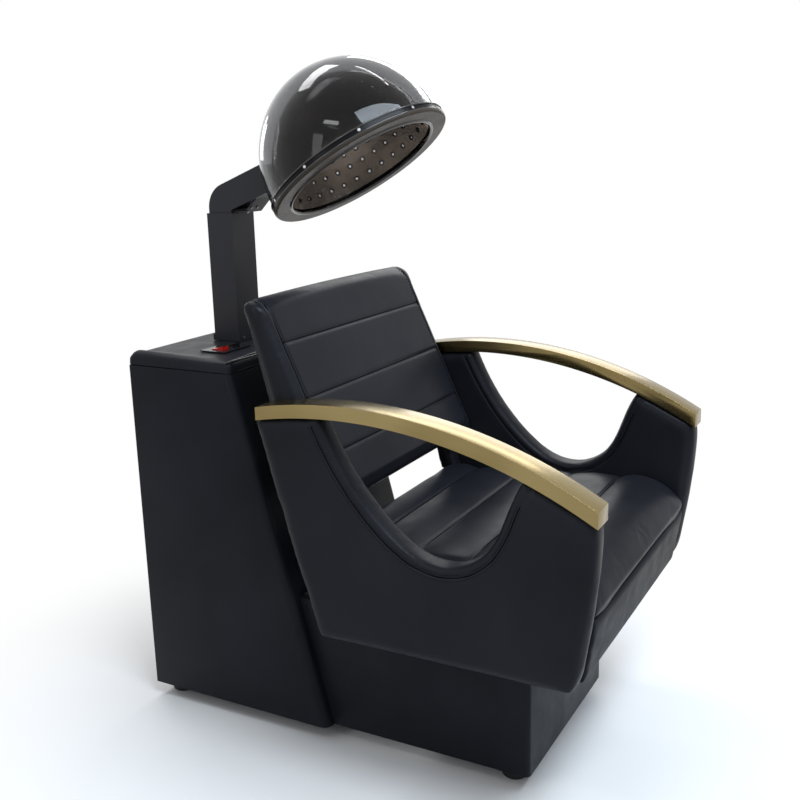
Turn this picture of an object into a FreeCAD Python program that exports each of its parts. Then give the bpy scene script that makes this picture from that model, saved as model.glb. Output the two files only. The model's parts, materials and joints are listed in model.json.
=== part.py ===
import FreeCAD, Part
import math
import os
import Sketcher
from FreeCAD import Placement, Rotation, Vector

# Hooded dryer chair: a padded lounge chair on a plinth, a dryer cabinet behind it,
# and a telescoping post with a tilting clear hood. Millimetres, +Z up, chair facing -Y,
# origin on the floor under the middle of the whole object.

doc = FreeCAD.newDocument("hooded_dryer_chair")
sheet = doc.addObject("Spreadsheet::Sheet", "dims")

SIZES = {
    # whole object and floor
    "overall_depth": 990,
    "foot_height": 30,
    "foot_radius": 25,
    "foot_edge_round": 7,
    "front_foot_side_inset": 45,
    "front_foot_inset": 42,
    "rear_foot_side_inset": 50.5,
    "rear_foot_inset": 30,
    "fit_gap": 0.3,
    "cut_overrun": 5,
    # dryer cabinet
    "cabinet_width": 447,
    "cabinet_top_height": 733,
    "cabinet_base_depth": 424,
    "cabinet_board": 18,
    "lid_thick": 22,
    "lid_round": 11,
    "rear_screw_radius": 3.5,
    "rear_screw_head": 3,
    "rear_screw_inset": 22,
    "shelf_height": 372,
    "shelf_thick": 15,
    # air intake grille and power inlet in the rear cover
    "grille_width": 150,
    "grille_height": 110,
    "grille_frame": 10,
    "grille_depth": 14,
    "grille_lift": 180,
    "slat_thick": 3,
    "inlet_width": 48,
    "inlet_height": 30,
    "inlet_depth": 24,
    "inlet_flange": 4,
    "inlet_lift": 96,
    "inlet_side": 130,
    "inlet_pin_radius": 2,
    "inlet_pin_pitch": 7,
    # blower, heater and duct
    "blower_radius": 92,
    "blower_width": 84,
    "blower_wall": 2.5,
    "blower_eye_radius": 52,
    "blower_y": 356,
    "impeller_radius": 66,
    "impeller_width": 60,
    "impeller_disc": 3,
    "impeller_hub_radius": 16,
    "blade_depth": 12,
    "blade_thick": 2,
    "motor_radius": 40,
    "motor_length": 62,
    "shaft_radius": 5,
    "shaft_clearance": 0.05,
    "motor_bracket_thick": 4,
    "heater_height": 86,
    "heater_wall": 2,
    "element_radius": 2.5,
    "duct_width": 60,
    "duct_depth": 48,
    "duct_wall": 1.5,
    # control plate
    "plate_width": 84,
    "plate_depth": 60,
    "plate_thick": 2.5,
    "plate_x": -110,
    "plate_y": 346,
    "rocker_length": 27,
    "rocker_width": 19,
    "rocker_rise": 5,
    "rocker_depth": 12,
    "rocker_pin_radius": 1.5,
    "rocker_pitch": 36,
    "switch_depth": 22,
    "switch_wall": 2,
    # post, sleeve and arm
    "collar_wall": 2.5,
    "collar_height": 13,
    "collar_screw_radius": 1.6,
    "collar_head_radius": 2.8,
    "collar_screw_head": 1.5,
    "collar_screw_inset": 12,
    "sleeve_width": 73.2,
    "sleeve_depth": 61.6,
    "sleeve_wall": 2,
    "sleeve_height": 258,
    "sleeve_back_gap": 65,
    "bush_height": 34,
    "arm_tube_width": 66,
    "arm_tube_depth": 54.6,
    "arm_wall": 2.5,
    "arm_leg_drop": 226,
    "arm_bend_rise": 25,
    "arm_reach": 108,
    "arm_bend_radius": 50,
    "brace_half_width": 26,
    "brace_thick": 3,
    "brace_lift": 1.5,
    "brace_reach": 62.7,
    "arm_screw_radius": 2.8,
    "arm_screw_head": 1.8,
    "arm_screw_pitch": 19,
    "arm_screw_drop": 18,
    "arm_screw_step": 8,
    "arm_screw_inset": 5,
    # hood hinge
    "end_plate_thick": 3,
    "air_hole_radius": 17,
    "knuckle_radius": 5,
    "knuckle_bore": 3,
    "hinge_offset": 7.2,
    "hinge_drop": 22,
    "hinge_half_width": 30,
    "hood_knuckle_half": 12,
    "hinge_clearance": 0.05,
    "bracket_thick": 3,
    "bracket_half_width": 27,
    "bracket_half_top": 11,
    "bracket_height": 74,
    "bracket_screw_radius": 3,
    # hood
    "hood_y": 86.7,
    "hood_height": 1072.5,
    "dome_radius": 178.9,
    "dome_rise": 190.8,
    "dome_base": 18.9,
    "dome_wall": 3,
    "inner_dome_radius": 153,
    "inner_dome_rise": 166,
    "inner_dome_wall": 2.5,
    "nozzle_radius": 2.6,
    "rim_ring_outer": 182.8,
    "rim_ring_inner": 150,
    "rim_ring_thick": 5,
    "rim_ring_round": 4.5,
    "band_outer": 181.8,
    "band_height": 12,
    "band_lip": 1,
    "band_lip_thick": 2.5,
    "seal_thick": 2.2,
    "seal_low": 1,
    "seal_height": 7,
    "rim_screw_radius": 2.8,
    "rim_screw_lift": 11.5,
    # plinth
    "plinth_width": 398,
    "plinth_front_inset": 167,
    "plinth_board": 16,
    "foot_rail_thick": 20,
    "joint_bolt_radius": 4,
    "joint_bolt_head": 7,
    "joint_bolt_height": 3,
    # seat frame
    "chair_width": 660,
    "panel_thick": 48,
    "panel_inset": 1,
    "deck_height": 282,
    "deck_thick": 18,
    "deck_front": 63,
    "deck_length": 437,
    "rail_height": 52,
    "rail_thick": 25,
    "seat_board_thick": 12,
    "seat_board_front": 55,
    "seat_board_length": 470,
    # seat cushion and apron
    "seat_width": 560,
    "seat_rear_reach": 540,
    "seat_front_gap": 20,
    "seat_rear_height": 424,
    "seat_rear_round": 8,
    "seat_seam_rear_height": 423,
    "seat_seam_front_height": 446,
    "seat_channel_crown": 4.5,
    "seat_nose_bulge": 20,
    "seat_cross_crown": 7,
    "seat_side_draw": 7,
    "seat_seam_one": 462,
    "seat_seam_two": 352,
    "seat_seam_three": 250,
    "seat_seam_four": 146,
    "seat_nose_height": 408,
    "apron_top_height": 391,
    "apron_top_inset": 26,
    "apron_bottom_inset": 45,
    "apron_thick": 18,
    # side panels
    "panel_rear_top": 617,
    "panel_rear_mid": 570,
    "panel_rear_mid_height": 492,
    "panel_rear_bottom": 503,
    "panel_front_bottom": 50,
    "panel_front_top": 10,
    "panel_edge_round": 9,
    "scoop_front": 129,
    "scoop_rear": 492,
    "scoop_bottom_height": 462,
    # arm bars
    "bar_width": 48.6,
    "bar_front": 10,
    "bar_rear": 614,
    "bar_front_height": 589.5,
    "bar_mid_height": 695,
    "bar_rear_height": 688,
    "bar_front_cut": 26.5,
    "bar_rear_cut": 23,
    "stud_radius": 4,
    "stud_length": 44,
    "stud_bite": 14,
    # backrest
    "back_width": 550,
    "back_bottom_height": 502,
    "back_top_height": 864,
    "back_face_reach": 561,
    "back_face_height": 691,
    "back_rear_reach": 633,
    "back_board_thick": 16,
    "back_round": 24,
    "back_seam_top": 775,
    "back_seam_pitch": 83,
    "back_channel_crown": 4,
    "back_side_draw": 8,
    "back_batten_width": 30,
    "back_batten_depth": 45,
    "back_batten_height": 180,
    "back_batten_foot": 438,
    "back_bolt_radius": 4,
    "back_bolt_length": 46,
}

# angles and ratios, which have no length
ANGLES = {
    "hood_tilt": 33.15,
    "arm_rise": 21,
    "front_lean_share": 0.2646,
    "back_face_lean_share": 0.46,
    "back_rear_lean_share": 0.26,
}

for row, (alias, value) in enumerate(list(SIZES.items()) + list(ANGLES.items()), start=1):
    sheet.set(f"A{row}", str(value))
    sheet.setAlias(f"A{row}", alias)
doc.recompute()


def num(text):
    """value of an expression over the sheet, as a plain number"""
    return float(sheet.evalExpression(text))


# places that several pieces share, as expressions over the sheet
REAR = "dims.overall_depth / 2"
FRONT = "-dims.overall_depth / 2"
BASE = "dims.foot_height"
CABINET_FRONT = f"({REAR} - dims.cabinet_base_depth)"
LID_BOTTOM = "(dims.cabinet_top_height - dims.lid_thick)"
POST_Y = f"({REAR} - dims.sleeve_back_gap - dims.sleeve_depth / 2)"
SLEEVE_BASE = "dims.cabinet_top_height"
SLEEVE_TOP = "(dims.cabinet_top_height + dims.sleeve_height)"
PANEL_OUT = "(dims.chair_width / 2 - dims.panel_inset)"
PANEL_IN = "(dims.chair_width / 2 - dims.panel_inset - dims.panel_thick)"
RAIL_TOP = "(dims.deck_height + dims.deck_thick + dims.rail_height)"
SEAT_BASE = f"({RAIL_TOP} + dims.seat_board_thick)"
BLOWER_Z = "(dims.shelf_height + dims.shelf_thick + dims.blower_radius + dims.blower_wall)"
LEAN = "dims.front_lean_share"


def cabinet_face(height):
    """y of the cabinet's slanted front at a height"""
    return f"({CABINET_FRONT} + {LEAN} * ({height} - {BASE}))"


pieces = []


def keep(obj, name):
    obj.Label = name
    pieces.append(obj)
    return obj


def bind(obj, **sizes):
    for prop, text in sizes.items():
        obj.setExpression(prop, text)


def place(obj, x, y, z):
    for axis, text in zip("xyz", (x, y, z)):
        obj.setExpression(f"Placement.Base.{axis}", text)


def block(tag, x0, x1, y0, y1, z0, z1):
    """box between six planes, each an expression"""
    obj = doc.addObject("Part::Box", tag)
    bind(obj, Length=f"({x1}) - ({x0})", Width=f"({y1}) - ({y0})", Height=f"({z1}) - ({z0})")
    place(obj, x0, y0, z0)
    return obj


TURNS = {
    "z": Rotation(),
    "x": Rotation(Vector(0, 1, 0), 90),
    "y": Rotation(Vector(1, 0, 0), -90),
}


def rod(tag, radius, length, x, y, z, axis="z"):
    """cylinder from a point along +X, +Y or +Z"""
    obj = doc.addObject("Part::Cylinder", tag)
    obj.Placement = Placement(Vector(), TURNS[axis])
    bind(obj, Radius=radius, Height=length)
    place(obj, x, y, z)
    return obj


def cut(tag, base, tool):
    obj = doc.addObject("Part::Cut", tag)
    obj.Base = base
    obj.Tool = tool
    return obj


def group(tag, shapes):
    obj = doc.addObject("Part::Compound", tag)
    obj.Links = shapes
    return obj


def join(tag, shapes):
    obj = doc.addObject("Part::MultiFuse", tag)
    obj.Shapes = shapes
    return obj


def feature(tag, shape, placement=None):
    obj = doc.addObject("Part::Feature", tag)
    obj.Shape = shape
    obj.Placement = (placement or Placement()) * shape.Placement
    return obj


def turned(x, y, z, degrees):
    """placement at a point, turned about X"""
    return Placement(Vector(x, y, z), Rotation(Vector(1, 0, 0), degrees))


def side_outline(tag, corners, start, length):
    """straight-sided outline in the YZ plane, padded along X from start"""
    body = doc.addObject("PartDesign::Body", tag)
    outline = body.newObject("Sketcher::SketchObject", tag + "_outline")
    plane = [f for f in body.Origin.OriginFeatures if f.Role == "YZ_Plane"][0]
    outline.AttachmentSupport = [(plane, "")]
    outline.MapMode = "FlatFace"
    points = [Vector(num(y), num(z), 0) for y, z in corners]
    count = len(points)
    for index in range(count):
        outline.addGeometry(Part.LineSegment(points[index], points[(index + 1) % count]))
    for index, (y, z) in enumerate(corners):
        outline.addConstraint(Sketcher.Constraint("Coincident", index, 2, (index + 1) % count, 1))
        for way, text, value in (("DistanceX", y, points[index].x), ("DistanceY", z, points[index].y)):
            made = outline.addConstraint(Sketcher.Constraint(way, -1, 1, index, 1, value))
            outline.setExpression(f"Constraints[{made}]", text)
    pad = body.newObject("PartDesign::Pad", tag + "_pad")
    pad.Profile = outline
    bind(pad, Length=length)
    outline.setExpression("AttachmentOffset.Base.z", start)
    body.Tip = pad
    return body


def rounded(tag, base, radius, picks):
    """fillet on the edges of base that picks accepts"""
    doc.recompute()
    obj = doc.addObject("Part::Fillet", tag)
    obj.Base = base
    size = num(radius)
    obj.Edges = [(i + 1, size, size) for i, e in enumerate(base.Shape.Edges) if picks(e)]
    return obj


# feet
feet = []


def foot(name, x, y):
    peg = rod(name + "_peg", "dims.foot_radius", "dims.foot_height", x, y, "0")
    feet.append(rounded(name, peg, "dims.foot_edge_round", lambda e: e.BoundBox.ZMax < num(BASE) / 2))


FOOT_OUT_CABINET = "(dims.cabinet_width / 2 - dims.rear_foot_side_inset)"
FOOT_OUT_PLINTH = "(dims.plinth_width / 2 - dims.front_foot_side_inset)"
PLINTH_FRONT = f"({FRONT} + dims.plinth_front_inset)"
for side, sign in (("right", "-"), ("left", "")):
    foot(f"front_foot_{side}", f"{sign}{FOOT_OUT_PLINTH}", f"{PLINTH_FRONT} + dims.front_foot_inset")
    foot(f"rear_foot_{side}", f"{sign}{FOOT_OUT_CABINET}", f"{REAR} - dims.rear_foot_inset")
keep(group("feet", feet), "feet")

# dryer cabinet: sides, slanted front, bottom board, shelf, rear cover and padded lid
HALF = "dims.cabinet_width / 2"
BOARD = "dims.cabinet_board"
for side, start in (("right", f"-{HALF}"), ("left", f"{HALF} - {BOARD}")):
    corners = [
        (f"{cabinet_face(BASE)} + {BOARD} + dims.fit_gap", BASE),
        (REAR, BASE),
        (REAR, LID_BOTTOM),
        (f"{cabinet_face(LID_BOTTOM)} + {BOARD} + dims.fit_gap", LID_BOTTOM),
    ]
    keep(side_outline(f"cabinet_{side}_side", corners, start, BOARD), f"cabinet_{side}_side")

corners = [
    (cabinet_face(BASE), BASE),
    (f"{cabinet_face(BASE)} + {BOARD}", BASE),
    (f"{cabinet_face(LID_BOTTOM)} + {BOARD}", LID_BOTTOM),
    (cabinet_face(LID_BOTTOM), LID_BOTTOM),
]
front_slab = side_outline("cabinet_front_slab", corners, f"-{HALF}", "dims.cabinet_width")

INSIDE = f"({HALF} - {BOARD})"
COVER = f"({REAR} - dims.rear_screw_head)"
keep(
    block(
        "cabinet_bottom", f"-{INSIDE}", INSIDE,
        f"{cabinet_face(f'({BASE} + {BOARD})')} + {BOARD}", f"{COVER} - {BOARD}", BASE, f"{BASE} + {BOARD}",
    ),
    "cabinet_bottom",
)
keep(
    block(
        "blower_shelf", f"-{INSIDE}", INSIDE,
        f"{cabinet_face('(dims.shelf_height + dims.shelf_thick)')} + {BOARD}", f"{COVER} - {BOARD}",
        "dims.shelf_height", "dims.shelf_height + dims.shelf_thick",
    ),
    "blower_shelf",
)

GRILLE_Z = f"({BASE} + dims.grille_lift)"
INLET_Z = f"({BASE} + dims.inlet_lift)"
rear_slab = block("rear_slab", f"-{INSIDE}", INSIDE, f"{COVER} - {BOARD}", COVER, BASE, LID_BOTTOM)
grille_hole = block(
    "grille_hole", "-dims.grille_width / 2", "dims.grille_width / 2",
    f"{COVER} - {BOARD} - dims.cut_overrun", f"{REAR} + dims.cut_overrun",
    f"{GRILLE_Z} - dims.grille_height / 2", f"{GRILLE_Z} + dims.grille_height / 2",
)
inlet_hole = block(
    "inlet_hole", "dims.inlet_side - dims.inlet_width / 2", "dims.inlet_side + dims.inlet_width / 2",
    f"{COVER} - {BOARD} - dims.cut_overrun", f"{REAR} + dims.cut_overrun",
    f"{INLET_Z} - dims.inlet_height / 2", f"{INLET_Z} + dims.inlet_height / 2",
)
rear_tools = [grille_hole, inlet_hole]
SCREW_X = f"({INSIDE} - dims.rear_screw_inset)"
SCREW_ROWS = (
    f"({BASE} + dims.rear_screw_inset)",
    f"(({BASE} + {LID_BOTTOM}) / 2)",
    f"({LID_BOTTOM} - dims.rear_screw_inset)",
)
rear_screws = []
for row, height in enumerate(SCREW_ROWS):
    for side, x in (("right", f"-{SCREW_X}"), ("left", SCREW_X)):
        tag = f"rear_screw_{row}_{side}"
        hole = rod(tag + "_hole", "dims.rear_screw_radius + dims.fit_gap / 3",
                   f"{BOARD} + 2 * dims.cut_overrun", x, f"{COVER} - {BOARD} - dims.cut_overrun", height, "y")
        rear_tools.append(hole)
        head = rod(tag + "_head", "2 * dims.rear_screw_radius", "dims.rear_screw_head", x, COVER, height, "y")
        shank = rod(tag + "_shank", "dims.rear_screw_radius", BOARD, x, f"{COVER} - {BOARD}", height, "y")
        rear_screws.append(join(tag, [head, shank]))
keep(cut("cabinet_rear_cover", rear_slab, group("rear_tools", rear_tools)), "cabinet_rear_cover")
keep(group("rear_cover_screws", rear_screws), "rear_cover_screws")

# intake grille: a frame with level slats
frame_out = block(
    "grille_out", "-dims.grille_width / 2", "dims.grille_width / 2",
    f"{COVER} - dims.grille_depth", COVER,
    f"{GRILLE_Z} - dims.grille_height / 2", f"{GRILLE_Z} + dims.grille_height / 2",
)
frame_in = block(
    "grille_in", "-dims.grille_width / 2 + dims.grille_frame", "dims.grille_width / 2 - dims.grille_frame",
    f"{COVER} - dims.grille_depth - dims.cut_overrun", f"{REAR} + dims.cut_overrun",
    f"{GRILLE_Z} - dims.grille_height / 2 + dims.grille_frame",
    f"{GRILLE_Z} + dims.grille_height / 2 - dims.grille_frame",
)
grille_parts = [cut("grille_frame_ring", frame_out, frame_in)]
SLATS = 7
for number in range(1, SLATS + 1):
    middle = (f"({GRILLE_Z} - dims.grille_height / 2 + dims.grille_frame"
              f" + {number} * (dims.grille_height - 2 * dims.grille_frame) / {SLATS + 1})")
    grille_parts.append(block(
        f"grille_slat_{number}", "-dims.grille_width / 2 + dims.grille_frame / 2",
        "dims.grille_width / 2 - dims.grille_frame / 2",
        f"{COVER} - dims.grille_depth", f"{COVER} - dims.grille_depth / 4",
        f"{middle} - dims.slat_thick / 2", f"{middle} + dims.slat_thick / 2",
    ))
keep(join("intake_grille", grille_parts), "intake_grille")

# power inlet: recessed socket with three pins
INLET_BACK = f"({COVER} - dims.inlet_depth)"
inlet_case = block(
    "inlet_case", "dims.inlet_side - dims.inlet_width / 2 + dims.fit_gap",
    "dims.inlet_side + dims.inlet_width / 2 - dims.fit_gap", INLET_BACK, COVER,
    f"{INLET_Z} - dims.inlet_height / 2 + dims.fit_gap", f"{INLET_Z} + dims.inlet_height / 2 - dims.fit_gap",
)
inlet_face = block(
    "inlet_face", "dims.inlet_side - dims.inlet_width / 2 - dims.inlet_flange",
    "dims.inlet_side + dims.inlet_width / 2 + dims.inlet_flange", COVER, f"{COVER} + dims.inlet_flange / 2",
    f"{INLET_Z} - dims.inlet_height / 2 - dims.inlet_flange",
    f"{INLET_Z} + dims.inlet_height / 2 + dims.inlet_flange",
)
inlet_well = block(
    "inlet_well", "dims.inlet_side - dims.inlet_width / 2 + dims.inlet_flange",
    "dims.inlet_side + dims.inlet_width / 2 - dims.inlet_flange",
    f"{INLET_BACK} + dims.inlet_flange", f"{REAR} + dims.cut_overrun",
    f"{INLET_Z} - dims.inlet_height / 2 + dims.inlet_flange",
    f"{INLET_Z} + dims.inlet_height / 2 - dims.inlet_flange",
)
inlet_parts = [cut("inlet_socket", join("inlet_solid", [inlet_case, inlet_face]), inlet_well)]
for number in (-1, 0, 1):
    inlet_parts.append(rod(
        f"inlet_pin_{number + 2}", "dims.inlet_pin_radius", "dims.inlet_depth - 2 * dims.inlet_flange",
        f"dims.inlet_side + {number} * dims.inlet_pin_pitch", f"{INLET_BACK} + dims.inlet_flange / 2",
        f"{INLET_Z} + {1 - abs(number)} * dims.inlet_pin_radius", "y",
    ))
keep(join("power_inlet", inlet_parts), "power_inlet")

# padded lid with its duct hole and switch hole
corners = [
    (cabinet_face(LID_BOTTOM), LID_BOTTOM),
    (REAR, LID_BOTTOM),
    (REAR, "dims.cabinet_top_height"),
    (cabinet_face("dims.cabinet_top_height"), "dims.cabinet_top_height"),
]
lid_block = side_outline("lid_block", corners, f"-{HALF}", "dims.cabinet_width")
lid_pad = rounded("lid_pad", lid_block, "dims.lid_round",
                  lambda e: e.BoundBox.ZMin > num("dims.cabinet_top_height - dims.fit_gap"))
duct_hole = block(
    "duct_hole", "-dims.duct_width / 2 - dims.fit_gap", "dims.duct_width / 2 + dims.fit_gap",
    f"{POST_Y} - dims.duct_depth / 2 - dims.fit_gap", f"{POST_Y} + dims.duct_depth / 2 + dims.fit_gap",
    f"{LID_BOTTOM} - dims.cut_overrun", "dims.cabinet_top_height + dims.cut_overrun",
)
switch_hole = block(
    "switch_hole", "dims.plate_x - dims.plate_width / 2 + dims.plate_thick * 2",
    "dims.plate_x + dims.plate_width / 2 - dims.plate_thick * 2",
    "dims.plate_y - dims.plate_depth / 2 + dims.plate_thick * 2",
    "dims.plate_y + dims.plate_depth / 2 - dims.plate_thick * 2",
    f"{LID_BOTTOM} - dims.cut_overrun", "dims.cabinet_top_height + dims.cut_overrun",
)
keep(cut("cabinet_lid", lid_pad, group("lid_tools", [duct_hole, switch_hole])), "cabinet_lid")

# control plate with two rocker switches
PLATE_TOP = "(dims.cabinet_top_height + dims.plate_thick)"
ROCKERS = (("power_rocker", f"(dims.plate_x - dims.rocker_pitch / 2)"),
           ("heat_rocker", f"(dims.plate_x + dims.rocker_pitch / 2)"))
plate = block(
    "plate_blank", "dims.plate_x - dims.plate_width / 2", "dims.plate_x + dims.plate_width / 2",
    "dims.plate_y - dims.plate_depth / 2", "dims.plate_y + dims.plate_depth / 2",
    "dims.cabinet_top_height", PLATE_TOP,
)
HOUSE_X = "(dims.rocker_width / 2 + dims.fit_gap + dims.switch_wall)"
HOUSE_Y = "(dims.rocker_length / 2 + dims.fit_gap + dims.switch_wall)"
plate_tools = []
for name, x in ROCKERS:
    plate_tools.append(block(
        name + "_window", f"{x} - {HOUSE_X}", f"{x} + {HOUSE_X}",
        f"dims.plate_y - {HOUSE_Y}", f"dims.plate_y + {HOUSE_Y}",
        "dims.cabinet_top_height - dims.cut_overrun", f"{PLATE_TOP} + dims.cut_overrun",
    ))
keep(cut("control_plate", plate, group("plate_tools", plate_tools)), "control_plate")


def switch_frame(name, x):
    outer = block(
        name + "_outer", f"{x} - {HOUSE_X}", f"{x} + {HOUSE_X}",
        f"dims.plate_y - {HOUSE_Y}", f"dims.plate_y + {HOUSE_Y}",
        f"{PLATE_TOP} - dims.switch_depth", f"{PLATE_TOP}",
    )
    well = block(
        name + "_well", f"{x} - {HOUSE_X} + dims.switch_wall", f"{x} + {HOUSE_X} - dims.switch_wall",
        f"dims.plate_y - {HOUSE_Y} + dims.switch_wall", f"dims.plate_y + {HOUSE_Y} - dims.switch_wall",
        f"{PLATE_TOP} - dims.switch_depth + dims.switch_wall", f"{PLATE_TOP} + dims.cut_overrun",
    )
    pin = rod(name + "_pin", "dims.rocker_pin_radius", f"2 * {HOUSE_X} - dims.switch_wall",
              f"{x} - {HOUSE_X} + dims.switch_wall / 2", "dims.plate_y",
              f"{PLATE_TOP} - dims.rocker_pin_radius", "x")
    return join(name, [cut(name + "_case", outer, well), pin])


keep(group("switch_housings", [switch_frame(name + "_housing", x) for name, x in ROCKERS]),
     "switch_housings")


def rocker(name, x):
    """seesaw cap: a shallow V top over a body that swings on the housing's pin"""
    half_l = "dims.rocker_length / 2"
    pivot = f"({PLATE_TOP} - dims.rocker_pin_radius)"
    corners = [
        (f"dims.plate_y - {half_l} * 0.55", f"{pivot} - dims.rocker_depth"),
        (f"dims.plate_y + {half_l} * 0.55", f"{pivot} - dims.rocker_depth"),
        (f"dims.plate_y + {half_l} * 0.94", f"{pivot} + dims.rocker_pin_radius * 0.4"),
        (f"dims.plate_y + {half_l} * 0.94", f"{pivot} + dims.rocker_rise * 0.6"),
        ("dims.plate_y", f"{pivot} + dims.rocker_rise * 0.85"),
        (f"dims.plate_y - {half_l} * 0.94", f"{pivot} + dims.rocker_rise * 1.6"),
        (f"dims.plate_y - {half_l} * 0.94", f"{pivot} + dims.rocker_pin_radius * 0.4"),
    ]
    cap = side_outline(name + "_cap", corners, f"{x} - dims.rocker_width / 2", "dims.rocker_width")
    bore = rod(name + "_bore", "dims.rocker_pin_radius + dims.shaft_clearance",
               "dims.rocker_width + 2 * dims.cut_overrun",
               f"{x} - dims.rocker_width / 2 - dims.cut_overrun", "dims.plate_y", pivot, "x")
    return cut(name, cap, bore)


for name, x in ROCKERS:
    keep(rocker(name, x), name)

# blower: drum housing with an inlet eye on each side and an outlet stack
BW = "dims.blower_width / 2"
drum_out = rod("drum_out", "dims.blower_radius", "dims.blower_width",
               f"-{BW}", "dims.blower_y", BLOWER_Z, "x")
drum_in = rod("drum_in", "dims.blower_radius - dims.blower_wall",
              "dims.blower_width - 2 * dims.blower_wall", f"-{BW} + dims.blower_wall", "dims.blower_y",
              BLOWER_Z, "x")
eye = rod("blower_eye", "dims.blower_eye_radius", "dims.blower_width + 2 * dims.cut_overrun",
          f"-{BW} - dims.cut_overrun", "dims.blower_y", BLOWER_Z, "x")
STACK_TOP = f"({BLOWER_Z} + dims.blower_radius + dims.blower_radius / 8)"
stack_out = block(
    "stack_out", f"-{BW}", BW, f"{POST_Y} - dims.duct_depth / 2", f"{POST_Y} + dims.duct_depth / 2",
    BLOWER_Z, STACK_TOP,
)
stack_in = block(
    "stack_in", f"-{BW} + dims.blower_wall", f"{BW} - dims.blower_wall",
    f"{POST_Y} - dims.duct_depth / 2 + dims.blower_wall",
    f"{POST_Y} + dims.duct_depth / 2 - dims.blower_wall",
    BLOWER_Z, f"{STACK_TOP} + dims.cut_overrun",
)
saddle = block(
    "saddle", f"-{BW}", BW,
    "dims.blower_y - dims.blower_radius / 2", "dims.blower_y + dims.blower_radius / 2",
    "dims.shelf_height + dims.shelf_thick", f"{BLOWER_Z} - dims.blower_radius * 0.8",
)
blower_solid = join("blower_solid", [drum_out, stack_out, saddle])
keep(cut("blower_housing", blower_solid, group("blower_tools", [drum_in, eye, stack_in])), "blower_housing")

# motor carried on a bracket beside the housing, its shaft running into the impeller
MOTOR_X = f"({BW} + dims.motor_bracket_thick * 4)"
motor_can = rod("motor_can", "dims.motor_radius", "dims.motor_length",
                MOTOR_X, "dims.blower_y", BLOWER_Z, "x")
motor_bore = rod("motor_bore", "dims.shaft_radius + dims.shaft_clearance",
                 "dims.motor_length / 2 + dims.cut_overrun", f"{MOTOR_X} - dims.cut_overrun",
                 "dims.blower_y", BLOWER_Z, "x")
keep(cut("blower_motor", motor_can, motor_bore), "blower_motor")
bracket_leg = block(
    "bracket_leg",
    f"{MOTOR_X} + dims.motor_length", f"{MOTOR_X} + dims.motor_length + dims.motor_bracket_thick",
    "dims.blower_y - dims.motor_radius", "dims.blower_y + dims.motor_radius",
    "dims.shelf_height + dims.shelf_thick", f"{BLOWER_Z} + dims.motor_radius",
)
bracket_foot = block(
    "bracket_foot", f"{MOTOR_X} + dims.motor_length / 4",
    f"{MOTOR_X} + dims.motor_length + dims.motor_bracket_thick",
    "dims.blower_y - dims.motor_radius", "dims.blower_y + dims.motor_radius",
    "dims.shelf_height + dims.shelf_thick", "dims.shelf_height + dims.shelf_thick + dims.motor_bracket_thick",
)
keep(join("motor_bracket", [bracket_leg, bracket_foot]), "motor_bracket")

# impeller: disc, hub, blades, end ring and shaft in one piece
IW = "dims.impeller_width / 2"
impeller_parts = [
    rod("impeller_shaft", "dims.shaft_radius", f"{MOTOR_X} + {IW} + dims.motor_length / 2 - dims.cut_overrun",
        f"-{IW}", "dims.blower_y", BLOWER_Z, "x"),
    rod("impeller_hub", "dims.impeller_hub_radius", "dims.impeller_width / 2", "0", "dims.blower_y", BLOWER_Z,
        "x"),
    rod("impeller_web", "dims.impeller_radius", "dims.impeller_disc", f"{IW} - dims.impeller_disc",
        "dims.blower_y", BLOWER_Z, "x"),
]
ring_out = rod("ring_out", "dims.impeller_radius", "dims.impeller_disc",
               f"-{IW}", "dims.blower_y", BLOWER_Z, "x")
ring_in = rod("ring_in", "dims.impeller_radius - dims.blade_depth",
              "dims.impeller_disc + 2 * dims.cut_overrun", f"-{IW} - dims.cut_overrun", "dims.blower_y",
              BLOWER_Z, "x")
impeller_parts.append(cut("impeller_ring", ring_out, ring_in))
BLADES = 20
for number in range(BLADES):
    blade = block(
        f"blade_{number}", f"-{IW}", IW, "-dims.blade_thick / 2", "dims.blade_thick / 2",
        "dims.impeller_radius - dims.blade_depth + dims.blade_thick / 2",
        "dims.impeller_radius - dims.blade_thick / 2",
    )
    spin = doc.addObject("Part::Compound", f"blade_turn_{number}")
    spin.Links = [blade]
    spin.Placement = Placement(Vector(), Rotation(Vector(1, 0, 0), 360 / BLADES * number))
    place(spin, "0", "dims.blower_y", BLOWER_Z)
    impeller_parts.append(spin)
keep(join("blower_impeller", impeller_parts), "blower_impeller")

# heater box over the stack, with a zigzag element, and the duct up to the post
HEATER_TOP = f"({STACK_TOP} + dims.heater_height)"
heater_out = block("heater_out", f"-{BW}", BW, f"{POST_Y} - dims.duct_depth / 2",
                   f"{POST_Y} + dims.duct_depth / 2", STACK_TOP, HEATER_TOP)
heater_in = block(
    "heater_in", f"-{BW} + dims.heater_wall", f"{BW} - dims.heater_wall",
    f"{POST_Y} - dims.duct_depth / 2 + dims.heater_wall",
    f"{POST_Y} + dims.duct_depth / 2 - dims.heater_wall",
    f"{STACK_TOP} - dims.cut_overrun", f"{HEATER_TOP} + dims.cut_overrun",
)
keep(cut("heater_box", heater_out, heater_in), "heater_box")
element_bars = []
BARS = 5
for number in range(1, BARS + 1):
    element_bars.append(rod(
        f"element_bar_{number}", "dims.element_radius", f"2 * {BW} - 2 * dims.heater_wall",
        f"-{BW} + dims.heater_wall", POST_Y, f"{STACK_TOP} + {number} * dims.heater_height / {BARS + 1}", "x",
    ))
keep(group("heater_element", element_bars), "heater_element")
duct_cap = block("duct_cap", f"-{BW}", BW,
                 f"{POST_Y} - dims.duct_depth / 2", f"{POST_Y} + dims.duct_depth / 2",
                 HEATER_TOP, f"{HEATER_TOP} + 2 * dims.duct_wall")
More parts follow.
